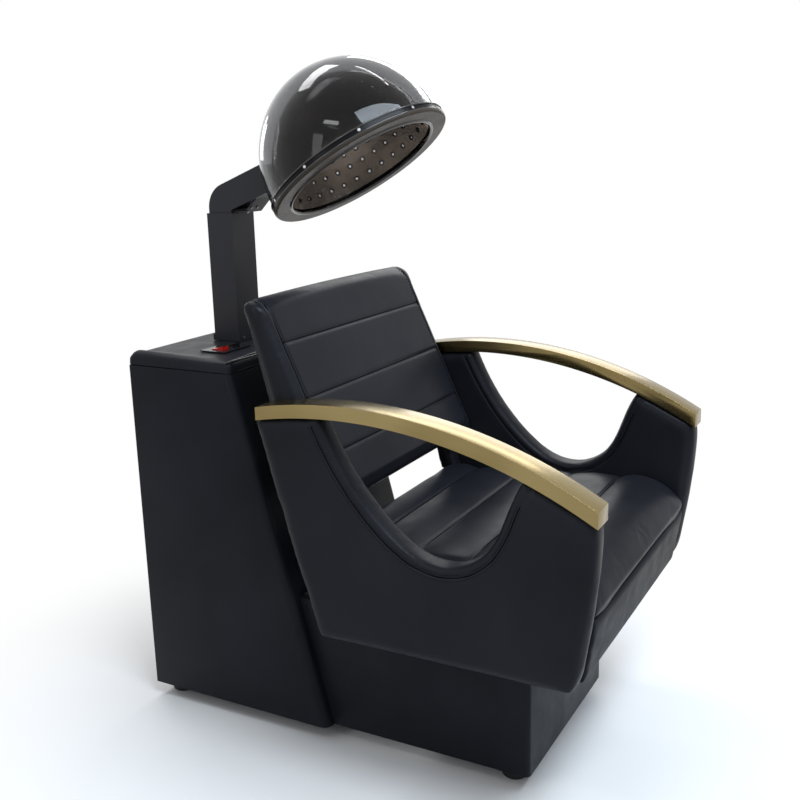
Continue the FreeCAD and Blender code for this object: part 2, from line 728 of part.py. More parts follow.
duct_out = block("duct_out", "-dims.duct_width / 2", "dims.duct_width / 2",
                 f"{POST_Y} - dims.duct_depth / 2", f"{POST_Y} + dims.duct_depth / 2",
                 HEATER_TOP, "dims.cabinet_top_height")
duct_in = block("duct_in", "-dims.duct_width / 2 + dims.duct_wall", "dims.duct_width / 2 - dims.duct_wall",
                f"{POST_Y} - dims.duct_depth / 2 + dims.duct_wall",
                f"{POST_Y} + dims.duct_depth / 2 - dims.duct_wall",
                f"{HEATER_TOP} - dims.cut_overrun", "dims.cabinet_top_height + dims.cut_overrun")
keep(cut("air_duct", join("duct_solid", [duct_cap, duct_out]), duct_in), "air_duct")

# post: the fixed sleeve stands on the lid in a low collar, with screws through both
SW = "dims.sleeve_width / 2"
SD = "dims.sleeve_depth / 2"
WALLS = "(dims.collar_wall + dims.sleeve_wall)"
collar_out = block(
    "collar_out", f"-{SW} - dims.collar_wall", f"{SW} + dims.collar_wall",
    f"{POST_Y} - {SD} - dims.collar_wall", f"{POST_Y} + {SD} + dims.collar_wall",
    SLEEVE_BASE, f"{SLEEVE_BASE} + dims.collar_height",
)
collar_bore = block("collar_bore", f"-{SW}", SW, f"{POST_Y} - {SD}", f"{POST_Y} + {SD}",
                    f"{SLEEVE_BASE} - dims.cut_overrun",
                    f"{SLEEVE_BASE} + dims.collar_height + dims.cut_overrun")
COLLAR_Z = f"({SLEEVE_BASE} + dims.collar_height / 2)"
collar_holes = []
collar_screws = []
for x_sign in ("-", ""):
    x = f"{x_sign}({SW} - dims.collar_screw_inset)"
    for end_name, shank_y, head_y in (
        ("front", f"{POST_Y} - {SD} - dims.collar_wall",
         f"{POST_Y} - {SD} - dims.collar_wall - dims.collar_screw_head"),
        ("rear", f"{POST_Y} + {SD} - dims.sleeve_wall", f"{POST_Y} + {SD} + dims.collar_wall"),
    ):
        tag = f"collar_screw_{end_name}_{'right' if x_sign else 'left'}"
        collar_holes.append(rod(tag + "_hole", "dims.collar_screw_radius + dims.fit_gap / 3",
                                f"{WALLS} + 2 * dims.cut_overrun", x, f"{shank_y} - dims.cut_overrun",
                                COLLAR_Z, "y"))
        head = rod(tag + "_head", "dims.collar_head_radius", "dims.collar_screw_head", x, head_y, COLLAR_Z, "y")
        shank = rod(tag + "_shank", "dims.collar_screw_radius", WALLS, x, shank_y, COLLAR_Z, "y")
        collar_screws.append(join(tag, [head, shank]))
keep(cut("post_flange", collar_out, group("collar_tools", [collar_bore] + collar_holes)), "post_flange")
keep(group("post_flange_screws", collar_screws), "post_flange_screws")

sleeve_out = block("sleeve_out", f"-{SW}", SW, f"{POST_Y} - {SD}", f"{POST_Y} + {SD}",
                   SLEEVE_BASE, SLEEVE_TOP)
sleeve_in = block(
    "sleeve_in", f"-{SW} + dims.sleeve_wall", f"{SW} - dims.sleeve_wall",
    f"{POST_Y} - {SD} + dims.sleeve_wall", f"{POST_Y} + {SD} - dims.sleeve_wall",
    f"{SLEEVE_BASE} - dims.cut_overrun", f"{SLEEVE_TOP} + dims.cut_overrun",
)
keep(cut("post_sleeve", sleeve_out, group("sleeve_tools", [sleeve_in] + collar_holes)), "post_sleeve")

# guide bushes: the upper one sits in the sleeve's mouth, the lower one rides on the arm's leg
AW = "dims.arm_tube_width / 2"
AD = "dims.arm_tube_depth / 2"
upper_out = block(
    "upper_out", f"-{SW} + dims.sleeve_wall", f"{SW} - dims.sleeve_wall",
    f"{POST_Y} - {SD} + dims.sleeve_wall", f"{POST_Y} + {SD} - dims.sleeve_wall",
    f"{SLEEVE_TOP} - dims.bush_height", SLEEVE_TOP,
)
upper_in = block(
    "upper_in", f"-{AW} - dims.fit_gap", f"{AW} + dims.fit_gap",
    f"{POST_Y} - {AD} - dims.fit_gap", f"{POST_Y} + {AD} + dims.fit_gap",
    f"{SLEEVE_TOP} - dims.bush_height - dims.cut_overrun", f"{SLEEVE_TOP} + dims.cut_overrun",
)
keep(cut("upper_guide_bush", upper_out, upper_in), "upper_guide_bush")
LEG_BOTTOM = f"({SLEEVE_TOP} - dims.arm_leg_drop)"
lower_out = block(
    "lower_out", f"-{SW} + dims.sleeve_wall + dims.fit_gap", f"{SW} - dims.sleeve_wall - dims.fit_gap",
    f"{POST_Y} - {SD} + dims.sleeve_wall + dims.fit_gap",
    f"{POST_Y} + {SD} - dims.sleeve_wall - dims.fit_gap",
    f"{LEG_BOTTOM}", f"{LEG_BOTTOM} + dims.bush_height",
)
lower_in = block("lower_in", f"-{AW}", AW, f"{POST_Y} - {AD}", f"{POST_Y} + {AD}",
                 f"{LEG_BOTTOM} - dims.cut_overrun", f"{LEG_BOTTOM} + dims.bush_height + dims.cut_overrun")
keep(cut("lower_guide_bush", lower_out, lower_in), "lower_guide_bush")

# arm: one rectangular tube, up out of the sleeve and then forward at a shallow rise
post_y = num(POST_Y)
sleeve_top = num(SLEEVE_TOP)
rise = math.radians(num("dims.arm_rise"))
bend_z = sleeve_top + num("dims.arm_bend_rise")
end_y = post_y - num("dims.arm_reach")
end_z = bend_z + num("dims.arm_reach") * math.tan(rise)
overrun = num("dims.cut_overrun")


def arm_section(inset, extra):
    """outline of the bent tube in the YZ plane, inset from the wall and run on past both ends"""
    half = num(AD) - inset
    low = num(LEG_BOTTOM) - extra
    along = Vector(0, -math.cos(rise), math.sin(rise))
    up = Vector(0, math.sin(rise), math.cos(rise))
    tip = Vector(0, end_y, end_z) + along * extra
    # the leg's rear and front faces meet the arm's top and underside on the mitre line
    turn = math.tan((math.pi / 2 - rise) / 2)
    rear_corner = Vector(0, post_y + half, bend_z + half * turn)
    front_corner = Vector(0, post_y - half, bend_z - half * turn)
    radius = num("dims.arm_bend_radius") - inset
    back = radius * turn
    start = rear_corner - Vector(0, 0, back)
    finish = rear_corner + along * back
    bulge = rear_corner + (start + finish - rear_corner * 2).normalize() * (
        radius / math.cos((math.pi / 2 - rise) / 2) - radius)
    low_rear = Vector(0, post_y + half, low)
    low_front = Vector(0, post_y - half, low)
    edges = [
        Part.LineSegment(low_front, low_rear),
        Part.LineSegment(low_rear, start),
        Part.Arc(start, bulge, finish),
        Part.LineSegment(finish, tip + up * half),
        Part.LineSegment(tip + up * half, tip - up * half),
        Part.LineSegment(tip - up * half, front_corner),
        Part.LineSegment(front_corner, low_front),
    ]
    return Part.Face(Part.Wire([e.toShape() for e in edges]))


def arm_tube():
    half = num(AW)
    wall = num("dims.arm_wall")
    outer = arm_section(0, 0).extrude(Vector(2 * half, 0, 0))
    outer.translate(Vector(-half, 0, 0))
    inner = arm_section(wall, overrun).extrude(Vector(2 * (half - wall), 0, 0))
    inner.translate(Vector(wall - half, 0, 0))
    return outer.cut(inner)


keep(feature("arm_tube", arm_tube()), "arm_tube")

# the arm's end, in its own frame: local -Y runs outward along the arm, local Z across it
END = turned(0, end_y, end_z, -num("dims.arm_rise"))


def local_box(x0, x1, y0, y1, z0, z1):
    return Part.makeBox(x1 - x0, y1 - y0, z1 - z0, Vector(x0, y0, z0))


def local_rod(radius, x0, x1, y, z):
    return Part.makeCylinder(radius, x1 - x0, Vector(x0, y, z), Vector(1, 0, 0))


knuckle = num("dims.knuckle_radius")
pin_radius = num("dims.knuckle_bore")
hinge_out = num("dims.hinge_offset")
hinge_down = num("dims.hinge_drop")
hinge_half = num("dims.hinge_half_width")
centre_half = num("dims.hood_knuckle_half")
gap = num("dims.fit_gap")


def end_plate():
    """cap on the arm's open end with an air hole, carrying the two outer hinge knuckles"""
    thick = num("dims.end_plate_thick")
    plate_shape = local_box(-num(AW), num(AW), -thick, 0, -num(AD), num(AD))
    hole = Part.makeCylinder(num("dims.air_hole_radius"), thick + 2 * overrun, Vector(0, overrun, knuckle),
                             Vector(0, -1, 0))
    relief = local_rod(knuckle + 2 * gap, -centre_half - gap, centre_half + gap, -hinge_out, -hinge_down)
    shape = plate_shape.cut(hole).cut(relief)
    for x0, x1 in ((-hinge_half, -centre_half - gap), (centre_half + gap, hinge_half)):
        barrel = local_rod(knuckle, x0, x1, -hinge_out, -hinge_down)
        web = local_box(x0, x1, -hinge_out, -thick / 2, -hinge_down - knuckle, -hinge_down + knuckle * 0.6)
        bore = local_rod(pin_radius, x0 - overrun, x1 + overrun, -hinge_out, -hinge_down)
        shape = shape.fuse(barrel.fuse(web)).cut(bore)
    return shape.removeSplitter()


keep(feature("arm_end_plate", end_plate(), END), "arm_end_plate")
keep(feature("hinge_pin", local_rod(pin_radius, -hinge_half, hinge_half, -hinge_out, -hinge_down), END),
     "hinge_pin")


# brace: a plate folded back to the leg just above the sleeve, across the inside of the bend
arm_along = Vector(0, -math.cos(rise), math.sin(rise))
leg_front = post_y - num(AD)
inner_corner = Vector(0, leg_front, bend_z - num(AD) * math.tan((math.pi / 2 - rise) / 2))
brace_half = num("dims.brace_half_width")
brace_t = num("dims.brace_thick")
brace_z = sleeve_top + num("dims.brace_lift")
brace_top = inner_corner + arm_along * num("dims.brace_reach")
SLANT = Vector(0, -1, -1).normalize()


def arm_brace():
    back_step = brace_t * math.sqrt(2) / (math.cos(rise) - math.sin(rise))
    lip = Vector(0, brace_top.y + brace_top.z - brace_z, brace_z)
    corners = [brace_top, lip, Vector(0, leg_front, brace_z), Vector(0, leg_front, brace_z + brace_t),
               lip + Vector(0, brace_t * (math.sqrt(2) - 1), brace_t), brace_top - arm_along * back_step]
    shape = Part.Face(Part.makePolygon(corners + corners[:1])).extrude(Vector(2 * brace_half, 0, 0))
    shape.translate(Vector(-brace_half, 0, 0))
    return shape


keep(feature("arm_brace", arm_brace()), "arm_brace")


def arm_screws():
    """three pan heads on the brace, one of them low at its near corner"""
    head_r = num("dims.arm_screw_radius")
    head = num("dims.arm_screw_head")
    mid = brace_top + Vector(0, 1, -1) * num("dims.arm_screw_drop")
    low = mid + Vector(0, 1, -1) * num("dims.arm_screw_step")
    low.x = num("dims.arm_screw_inset") - brace_half
    spots = [mid, mid - Vector(num("dims.arm_screw_pitch"), 0, 0), low]
    return Part.makeCompound([Part.makeCylinder(head_r, head, spot, SLANT) for spot in spots])


keep(feature("arm_screws", arm_screws()), "arm_screws")

# hood parts, in the hood's own frame: origin in the middle of its mouth, Z along its axis
HOOD = turned(0, num("dims.hood_y"), num("dims.hood_height"), -num("dims.hood_tilt"))


def in_hood(obj):
    """seat an object of the hood's own frame, its place bound to the sheet"""
    obj.Placement = HOOD
    place(obj, "0", "dims.hood_y", "dims.hood_height")
    return obj


def half_ellipsoid(tag, radius, up):
    obj = doc.addObject("Part::Ellipsoid", tag)
    obj.Angle1 = 0
    bind(obj, Radius1=up, Radius2=radius)
    place(obj, "0", "0", "dims.dome_base")
    return obj


def dome(tag, radius, up, wall, foot_z):
    """half ellipsoid shell on a short straight skirt"""
    crown = cut(tag + "_crown", half_ellipsoid(tag + "_out", radius, up),
                half_ellipsoid(tag + "_in", f"{radius} - {wall}", f"{up} - {wall}"))
    skirt_out = rod(tag + "_skirt_out", radius, f"dims.dome_base - {foot_z}", "0", "0", foot_z)
    skirt_in = rod(tag + "_skirt_in", f"{radius} - {wall}", f"dims.dome_base - {foot_z}", "0", "0", foot_z)
    skirt = cut(tag + "_skirt", skirt_out, skirt_in)
    return join(tag + "_shell", [crown, skirt])


def ellipse_point(radius, up, turn, lift):
    """point and outward normal on a dome: turn round its axis, lift above its equator, degrees"""
    a, b = math.radians(turn), math.radians(lift)
    flat = radius * math.cos(b)
    point = Vector(flat * math.sin(a), flat * math.cos(a), num("dims.dome_base") + up * math.sin(b))
    normal = Vector(math.cos(b) * math.sin(a) / radius, math.cos(b) * math.cos(a) / radius, math.sin(b) / up)
    return point, normal.normalize()


dome_r = num("dims.dome_radius")
dome_up = num("dims.dome_rise")
inner_r = num("dims.inner_dome_radius")
inner_up = num("dims.inner_dome_rise")

# hinge axis seen from the hood's frame
axis_point = HOOD.inverse().multVec(END.multVec(Vector(0, -hinge_out, -hinge_down)))
spout_point = HOOD.inverse().multVec(END.multVec(Vector(0, 0, knuckle)))
spout_lift = math.degrees(math.asin((spout_point.z - num("dims.dome_base")) / dome_up))
spout_at, spout_out = ellipse_point(dome_r, dome_up, 0, spout_lift)
spout_radius = num("dims.air_hole_radius") - 2 * pin_radius


RIM_SCREWS = 10
RIM_TURNS = [360 / RIM_SCREWS * (index + 0.5) for index in range(RIM_SCREWS)]
rim_screw_r = num("dims.rim_screw_radius")
rim_screw_z = num("dims.rim_screw_lift")
dome_wall = num("dims.dome_wall")


def rim_rods(radius, start, finish):
    """rods pointing outward all round the rim, for its screws and their holes"""
    rods = []
    for turn in RIM_TURNS:
        out = Vector(math.sin(math.radians(turn)), math.cos(math.radians(turn)), 0)
        rods.append(Part.makeCylinder(radius, finish - start, out * start + Vector(0, 0, rim_screw_z), out))
    return rods



RIM_HOLES = rim_rods(rim_screw_r / 2 + gap / 3, dome_r - 2 * dome_wall, dome_r + 4 * dome_wall)
outer_shell = dome("outer_dome", "dims.dome_radius", "dims.dome_rise", "dims.dome_wall",
                   "dims.rim_ring_thick")
spout_start = spout_at - spout_out * 2 * dome_wall
spout_hole = Part.makeCylinder(spout_radius + gap, 4 * dome_wall, spout_start, spout_out)
outer_tools = feature("outer_dome_tools",
                      Part.makeCompound([spout_hole] + RIM_HOLES))
keep(in_hood(cut("outer_dome", outer_shell, outer_tools)), "outer_dome")


def rim_screws():
    band = num("dims.band_outer")
    heads = rim_rods(rim_screw_r, band, band + rim_screw_r * 0.6)
    shanks = rim_rods(rim_screw_r / 2, dome_r - dome_wall, band)
    return Part.makeCompound([head.fuse(shank).removeSplitter() for head, shank in zip(heads, shanks)])


keep(in_hood(feature("rim_screws", rim_screws())), "rim_screws")

# inner dome with rings of air holes
NOZZLE_ROWS = ((3.6, 32), (13.3, 32), (22.3, 32), (33, 24), (46, 16), (62, 8))


def nozzles():
    reach = 3 * num("dims.inner_dome_wall")
    holes = []
    for lift, count in NOZZLE_ROWS:
        for index in range(count):
            point, normal = ellipse_point(inner_r, inner_up, 360 / count * index, lift)
            start = point - normal * reach
            holes.append(Part.makeCylinder(num("dims.nozzle_radius"), 2 * reach, start, normal))
    return Part.makeCompound(holes)


inner_shell = dome("inner_dome", "dims.inner_dome_radius", "dims.inner_dome_rise", "dims.inner_dome_wall",
                   "dims.rim_ring_thick")
keep(in_hood(cut("inner_dome", inner_shell, feature("nozzle_tools", nozzles()))), "inner_dome")


# mouth ring, rim band and inner seal
def washer(tag, outer, inner, low, high):
    disc = rod(tag + "_disc", outer, f"({high}) - ({low})", "0", "0", low)
    bore = rod(tag + "_bore", inner, f"({high}) - ({low}) + 2 * dims.cut_overrun", "0", "0",
               f"({low}) - dims.cut_overrun")
    return cut(tag, disc, bore)


ring_blank = washer("mouth_ring_blank", "dims.rim_ring_outer", "dims.rim_ring_inner", "0",
                    "dims.rim_ring_thick")
ring = rounded("mouth_ring", ring_blank, "dims.rim_ring_round",
               lambda e: e.BoundBox.ZMax < num("dims.fit_gap") and e.Length > num("6 * dims.rim_ring_outer"))
keep(in_hood(ring), "mouth_ring")
BAND_TOP = "(dims.rim_ring_thick + dims.band_height)"
band_wall = washer("band_wall", "dims.band_outer", "dims.dome_radius + dims.fit_gap", "dims.rim_ring_thick",
                   BAND_TOP)
band_lip = washer("band_lip", "dims.band_outer + dims.band_lip", "dims.dome_radius + dims.fit_gap",
                  f"{BAND_TOP} - dims.band_lip_thick", BAND_TOP)
band_solid = join("band_solid", [band_wall, band_lip])
band_holes = feature("band_holes", Part.makeCompound(RIM_HOLES))
keep(in_hood(cut("rim_band", band_solid, band_holes)), "rim_band")
seal = washer("inner_seal", "dims.rim_ring_inner - dims.fit_gap",
              "dims.rim_ring_inner - dims.seal_thick", "dims.seal_low", "dims.seal_low + dims.seal_height")
keep(in_hood(seal), "inner_seal")


def dome_offset(away):
    """solid half ellipsoid, the clear dome's own form grown by a distance"""
    solid = Part.makeSphere(1, Vector(), Vector(0, 0, 1), 0, 90, 360)
    grow = FreeCAD.Matrix()
    grow.scale(dome_r + away, dome_r + away, dome_up + away)
    solid = solid.transformGeometry(grow)
    solid.translate(Vector(0, 0, num("dims.dome_base")))
    return solid


def bracket_plate(inside, outside, half_low, half_high, low, high):
    """curved plate that hugs the rear of the clear dome between two offsets from it"""
    shell = dome_offset(outside).cut(dome_offset(inside))
    corners = [Vector(-half_low, 0, low), Vector(half_low, 0, low), Vector(half_high, 0, high),
               Vector(-half_high, 0, high)]
    window = Part.Face(Part.makePolygon(corners + corners[:1])).extrude(Vector(0, dome_r * 2, 0))
    return shell.common(window)


thick = num("dims.bracket_thick")
plate_low = axis_point.z - knuckle
plate_high = plate_low + num("dims.bracket_height")
half_plate = num("dims.bracket_half_width")
half_top = num("dims.bracket_half_top")


def hood_bracket():
    """curved outer plate with the middle hinge knuckle"""
    narrow = bracket_plate(gap / 3, thick, centre_half - gap, centre_half - gap,
                           plate_low, plate_low + 3 * knuckle)
    wide = bracket_plate(gap / 3, thick, half_plate, half_top, plate_low + 3 * knuckle, plate_high)
    barrel = local_rod(knuckle, -centre_half + gap, centre_half - gap, axis_point.y, axis_point.z)
    bore = local_rod(pin_radius + num("dims.hinge_clearance"), -centre_half - overrun, centre_half + overrun,
                     axis_point.y, axis_point.z)
    air = Part.makeCylinder(spout_radius + gap / 3, 8 * thick, spout_at - spout_out * 4 * thick, spout_out)
    shape = wide.fuse(narrow).fuse(barrel).cut(bore).cut(air)
    for x, z in BRACKET_SPOTS:
        shape = shape.cut(bracket_screw_hole(x, z))
    return shape


BRACKET_SPOTS = ((0, plate_high - 1.2 * knuckle), (-half_plate * 0.74, plate_low + 4.2 * knuckle),
                 (half_plate * 0.74, plate_low + 4.2 * knuckle))
screw_r = num("dims.bracket_screw_radius")


def rear_point(x, z):
    """point and normal on the dome's rear at a sideways place and height"""
    lift = math.degrees(math.asin((z - num("dims.dome_base")) / dome_up))
    flat = dome_r * math.cos(math.radians(lift))
    return ellipse_point(dome_r, dome_up, math.degrees(math.asin(x / flat)), lift)


def bracket_screw_hole(x, z):
    point, normal = rear_point(x, z)
    return Part.makeCylinder(screw_r / 2 + gap / 3, 8 * thick, point - normal * 4 * thick, normal)


def bracket_screws():
    parts = []
    for x, z in BRACKET_SPOTS:
        point, normal = rear_point(x, z)
        head = Part.makeCylinder(screw_r, screw_r * 0.5, point + normal * (thick + gap / 3), normal)
        start = point - normal * (thick + dome_wall)
        shank = Part.makeCylinder(screw_r / 2, 2 * thick + dome_wall, start, normal)
        parts.append(head.fuse(shank).removeSplitter())
    return Part.makeCompound(parts)


def backing_plate():
    """inner clamp plate behind the clear dome"""
    shape = bracket_plate(-dome_wall - gap / 3 - thick * 0.8, -dome_wall - gap / 3, half_plate, half_top,
                          plate_low + 3 * knuckle, plate_high)
    air = Part.makeCylinder(spout_radius + gap / 3, 10 * thick, spout_at - spout_out * 5 * thick, spout_out)
    shape = shape.cut(air)
    for x, z in BRACKET_SPOTS:
        shape = shape.cut(bracket_screw_hole(x, z))
    return shape


for x, z in BRACKET_SPOTS:
    outer_tools.Shape = Part.makeCompound(list(outer_tools.Shape.Solids) + [bracket_screw_hole(x, z)])
keep(in_hood(feature("hood_bracket", hood_bracket())), "hood_bracket")
keep(in_hood(feature("hood_backing_plate", backing_plate())), "hood_backing_plate")
keep(in_hood(feature("hood_bracket_screws", bracket_screws())), "hood_bracket_screws")
spout = Part.makeCylinder(spout_radius, 4 * thick, spout_at - spout_out * 2.2 * thick, spout_out)
spout = spout.cut(Part.makeCylinder(spout_radius - dome_wall / 2, 6 * thick, spout_at - spout_out * 3 * thick,
                                    spout_out))
keep(in_hood(feature("air_spout", spout)), "air_spout")

# plinth: front, two sides and a leaning rear board against the cabinet
PW = "dims.plinth_width / 2"
PB = "dims.plinth_board"
DECK = "dims.deck_height"
front_board = block("plinth_front_board", f"-{PW}", PW, PLINTH_FRONT, f"{PLINTH_FRONT} + {PB}", BASE, DECK)
foot_rail = block(
    "plinth_foot_rail", f"-{PW} + {PB}", f"{PW} - {PB}", f"{PLINTH_FRONT} + {PB}",
    f"{PLINTH_FRONT} + dims.front_foot_inset + dims.foot_radius", BASE, f"{BASE} + dims.foot_rail_thick",
)
keep(join("plinth_front", [front_board, foot_rail]), "plinth_front")
for side, start in (("right", f"-{PW}"), ("left", f"{PW} - {PB}")):
    corners = [
        (f"{PLINTH_FRONT} + {PB}", BASE),
        (cabinet_face(BASE), BASE),
        (cabinet_face(DECK), DECK),
        (f"{PLINTH_FRONT} + {PB}", DECK),
    ]
    keep(side_outline(f"plinth_{side}_side", corners, start, PB), f"plinth_{side}_side")
corners = [
    (f"{cabinet_face(BASE)} - {PB}", BASE),
    (cabinet_face(BASE), BASE),
    (cabinet_face(DECK), DECK),
    (f"{cabinet_face(DECK)} - {PB}", DECK),
]
rear_board = side_outline("plinth_rear_slab", corners, f"-{PW} + {PB}", f"dims.plinth_width - 2 * {PB}")

# bolts that tie the plinth to the cabinet
bolts = []
bolt_holes = []
for row, height in (("low", f"({BASE} + {DECK}) / 3"), ("high", f"({BASE} + {DECK}) * 2 / 3")):
    for side, x in (("right", f"-{PW} * 0.6"), ("left", f"{PW} * 0.6")):
        tag = f"joint_bolt_{row}_{side}"
        start = f"{cabinet_face(f'({height})')} - {PB} - dims.joint_bolt_height"
        shank = rod(tag + "_shank", "dims.joint_bolt_radius", f"{PB} + {BOARD} + 2 * dims.joint_bolt_height",
                    x, start, height, "y")
        head = rod(tag + "_head", "dims.joint_bolt_head", "dims.joint_bolt_height", x,
                   f"{start} - dims.joint_bolt_height", height, "y")
        bolts.append(join(tag, [shank, head]))
        bolt_holes.append(rod(tag + "_hole", "dims.joint_bolt_radius + dims.fit_gap / 3",
                              f"{PB} + {BOARD} + 8 * dims.cut_overrun", x, f"{start} - 4 * dims.cut_overrun",
                              height, "y"))
bolt_tools = group("bolt_tools", bolt_holes)
keep(cut("plinth_rear", rear_board, bolt_tools), "plinth_rear")
keep(cut("cabinet_front", front_slab, bolt_tools), "cabinet_front")

# seat deck, rails and seat board between the side panels
DECK_FRONT = f"({FRONT} + dims.deck_front)"
DECK_REAR = f"({DECK_FRONT} + dims.deck_length)"
BETWEEN = f"({PANEL_IN} - dims.fit_gap)"
keep(block("seat_deck", f"-{BETWEEN}", BETWEEN, DECK_FRONT, DECK_REAR, DECK, f"{DECK} + dims.deck_thick"),
     "seat_deck")
RAIL_LOW = f"({DECK} + dims.deck_thick)"
RT = "dims.rail_thick"
panel_bolt_spots = []
for share in (0.14, 0.86):
    panel_bolt_spots.append((f"({DECK_FRONT} + dims.deck_length * {share})",
                             f"({RAIL_LOW} + dims.rail_height / 2)"))
side_rails = []
for side, x0, x1 in (("right", f"-{BETWEEN}", f"-{BETWEEN} + {RT}"), ("left", f"{BETWEEN} - {RT}", BETWEEN)):
    blank = block(f"rail_blank_{side}", x0, x1, DECK_FRONT, DECK_REAR, RAIL_LOW, RAIL_TOP)
    holes = [
        rod(f"rail_hole_{side}_{n}", "dims.joint_bolt_radius + dims.fit_gap / 3",
            f"{RT} + 2 * dims.cut_overrun", f"{x0} - dims.cut_overrun", y, z, "x")
        for n, (y, z) in enumerate(panel_bolt_spots)
    ]
    side_rails.append(cut(f"seat_rail_{side}", blank, group(f"rail_holes_{side}", holes)))
keep(group("seat_side_rails", side_rails), "seat_side_rails")
cross_rails = [
    block(f"cross_rail_{word}", f"-{BETWEEN} + {RT}", f"{BETWEEN} - {RT}", y0, y1, RAIL_LOW, RAIL_TOP)
    for word, y0, y1 in (
        ("front", DECK_FRONT, f"{DECK_FRONT} + {RT}"), ("rear", f"{DECK_REAR} - {RT}", DECK_REAR),
    )
]
keep(group("seat_cross_rails", cross_rails), "seat_cross_rails")
BOARD_FRONT = f"({FRONT} + dims.seat_board_front)"
keep(block("seat_board", f"-{BETWEEN}", BETWEEN, BOARD_FRONT, f"{BOARD_FRONT} + dims.seat_board_length",
           RAIL_TOP, SEAT_BASE), "seat_board")

# bolts through the rails into the side panels
front = num(FRONT)
panel_in = num(PANEL_IN)
panel_out = num(PANEL_OUT)
bolt_r = num("dims.joint_bolt_radius")
bolt_head = num("dims.joint_bolt_head")
bolt_head_h = num("dims.joint_bolt_height")


def side_bolt(y, z, start, length, radius, headed):
    """bolt lying along X on both sides of the chair"""
    shapes = []
    for sign in (-1, 1):
        body = Part.makeCylinder(radius, length, Vector(sign * start, y, z), Vector(sign, 0, 0))
        if headed:
            head = Part.makeCylinder(bolt_head, bolt_head_h, Vector(sign * start, y, z), Vector(-sign, 0, 0))
            body = body.fuse(head).removeSplitter()
        shapes.append(body)
    return shapes


rail_inner = panel_in - gap - num(RT)
panel_bolts = []
panel_tools = []
for y, z in panel_bolt_spots:
    length = num(RT) + gap + num("dims.panel_thick") / 2
    panel_bolts += side_bolt(num(y), num(z), rail_inner, length, bolt_r, True)
    panel_tools += side_bolt(num(y), num(z), rail_inner, length + gap, bolt_r + gap / 3, False)


# arm bars: an arched bar, its outline a pair of arcs closed by upright ends
def arc_height(y, y0, z0, zm, y1, z1):
    """height at y on the arc through both ends and the crown height midway"""
    arc = Part.Arc(Vector(0, y0, z0), Vector(0, (y0 + y1) / 2, zm), Vector(0, y1, z1)).toShape().Curve
    centre, radius = arc.Center, arc.Radius
    return centre.z + math.sqrt(radius ** 2 - (y - centre.y) ** 2)


bar_y0 = front + num("dims.bar_front")
bar_y1 = front + num("dims.bar_rear")
bar_z0 = num("dims.bar_front_height")
bar_z1 = num("dims.bar_rear_height")
bar_zm = num("dims.bar_mid_height")
low_z0 = bar_z0 - num("dims.bar_front_cut")
low_z1 = bar_z1 - num("dims.bar_rear_cut")
low_zm = bar_zm - (num("dims.bar_front_cut") + num("dims.bar_rear_cut")) / 2


def under_bar(y):
    return arc_height(y, bar_y0, low_z0, low_zm, bar_y1, low_z1)


stud_r = num("dims.stud_radius")
STUD_SHARES = (0.09, 0.88, 0.96)
stud_ys = [bar_y0 + (bar_y1 - bar_y0) * share for share in STUD_SHARES]


def studs(radius, extra):
    shapes = []
    middle = panel_out - num("dims.panel_thick") / 2
    for sign in (-1, 1):
        for y in stud_ys:
            top = under_bar(y) + num("dims.stud_bite") + extra
            length = num("dims.stud_length") + 2 * extra
            shapes.append(Part.makeCylinder(radius, length, Vector(sign * middle, y, top - length)))
    return shapes


stud_tools = studs(stud_r + gap / 3, gap)
keep(feature("arm_bar_studs", Part.makeCompound(studs(stud_r, 0))), "arm_bar_studs")


def bar_shape(x0):
    middle = (bar_y0 + bar_y1) / 2
    top = Part.Arc(Vector(0, bar_y0, bar_z0), Vector(0, middle, bar_zm), Vector(0, bar_y1, bar_z1))
    low = Part.Arc(Vector(0, bar_y0, low_z0), Vector(0, middle, low_zm), Vector(0, bar_y1, low_z1))
    ends = [Part.LineSegment(Vector(0, bar_y1, bar_z1), Vector(0, bar_y1, low_z1)),
            Part.LineSegment(Vector(0, bar_y0, low_z0), Vector(0, bar_y0, bar_z0))]
    wire = Part.Wire(Part.sortEdges([e.toShape() for e in [top, low] + ends])[0])
    shape = Part.Face(wire).extrude(Vector(num("dims.bar_width"), 0, 0))
    shape.translate(Vector(x0, 0, 0))
    return shape.cut(Part.makeCompound(stud_tools))


chair_half = num("dims.chair_width / 2")
keep(feature("arm_bar_right", bar_shape(-chair_half)), "arm_bar_right")
keep(feature("arm_bar_left", bar_shape(chair_half - num("dims.bar_width"))), "arm_bar_left")

# side panels: padded boards with a deep scoop under the bar
deck = num(DECK)
# places along the scoop as shares of its width, from front to rear, and of its depth
SCOOP_SHARES = ((0.07, 0.30), (0.17, 0.72), (0.34, 0.97), (0.50, 0.985), (0.68, 0.80), (0.85, 0.47))
# places up the front edge as shares of its height, and of how far its foot stands behind its top
FRONT_SHARES = ((0.06, 0.78), (0.20, 0.60), (0.38, 0.38), (0.62, 0.16), (0.84, 0.0))


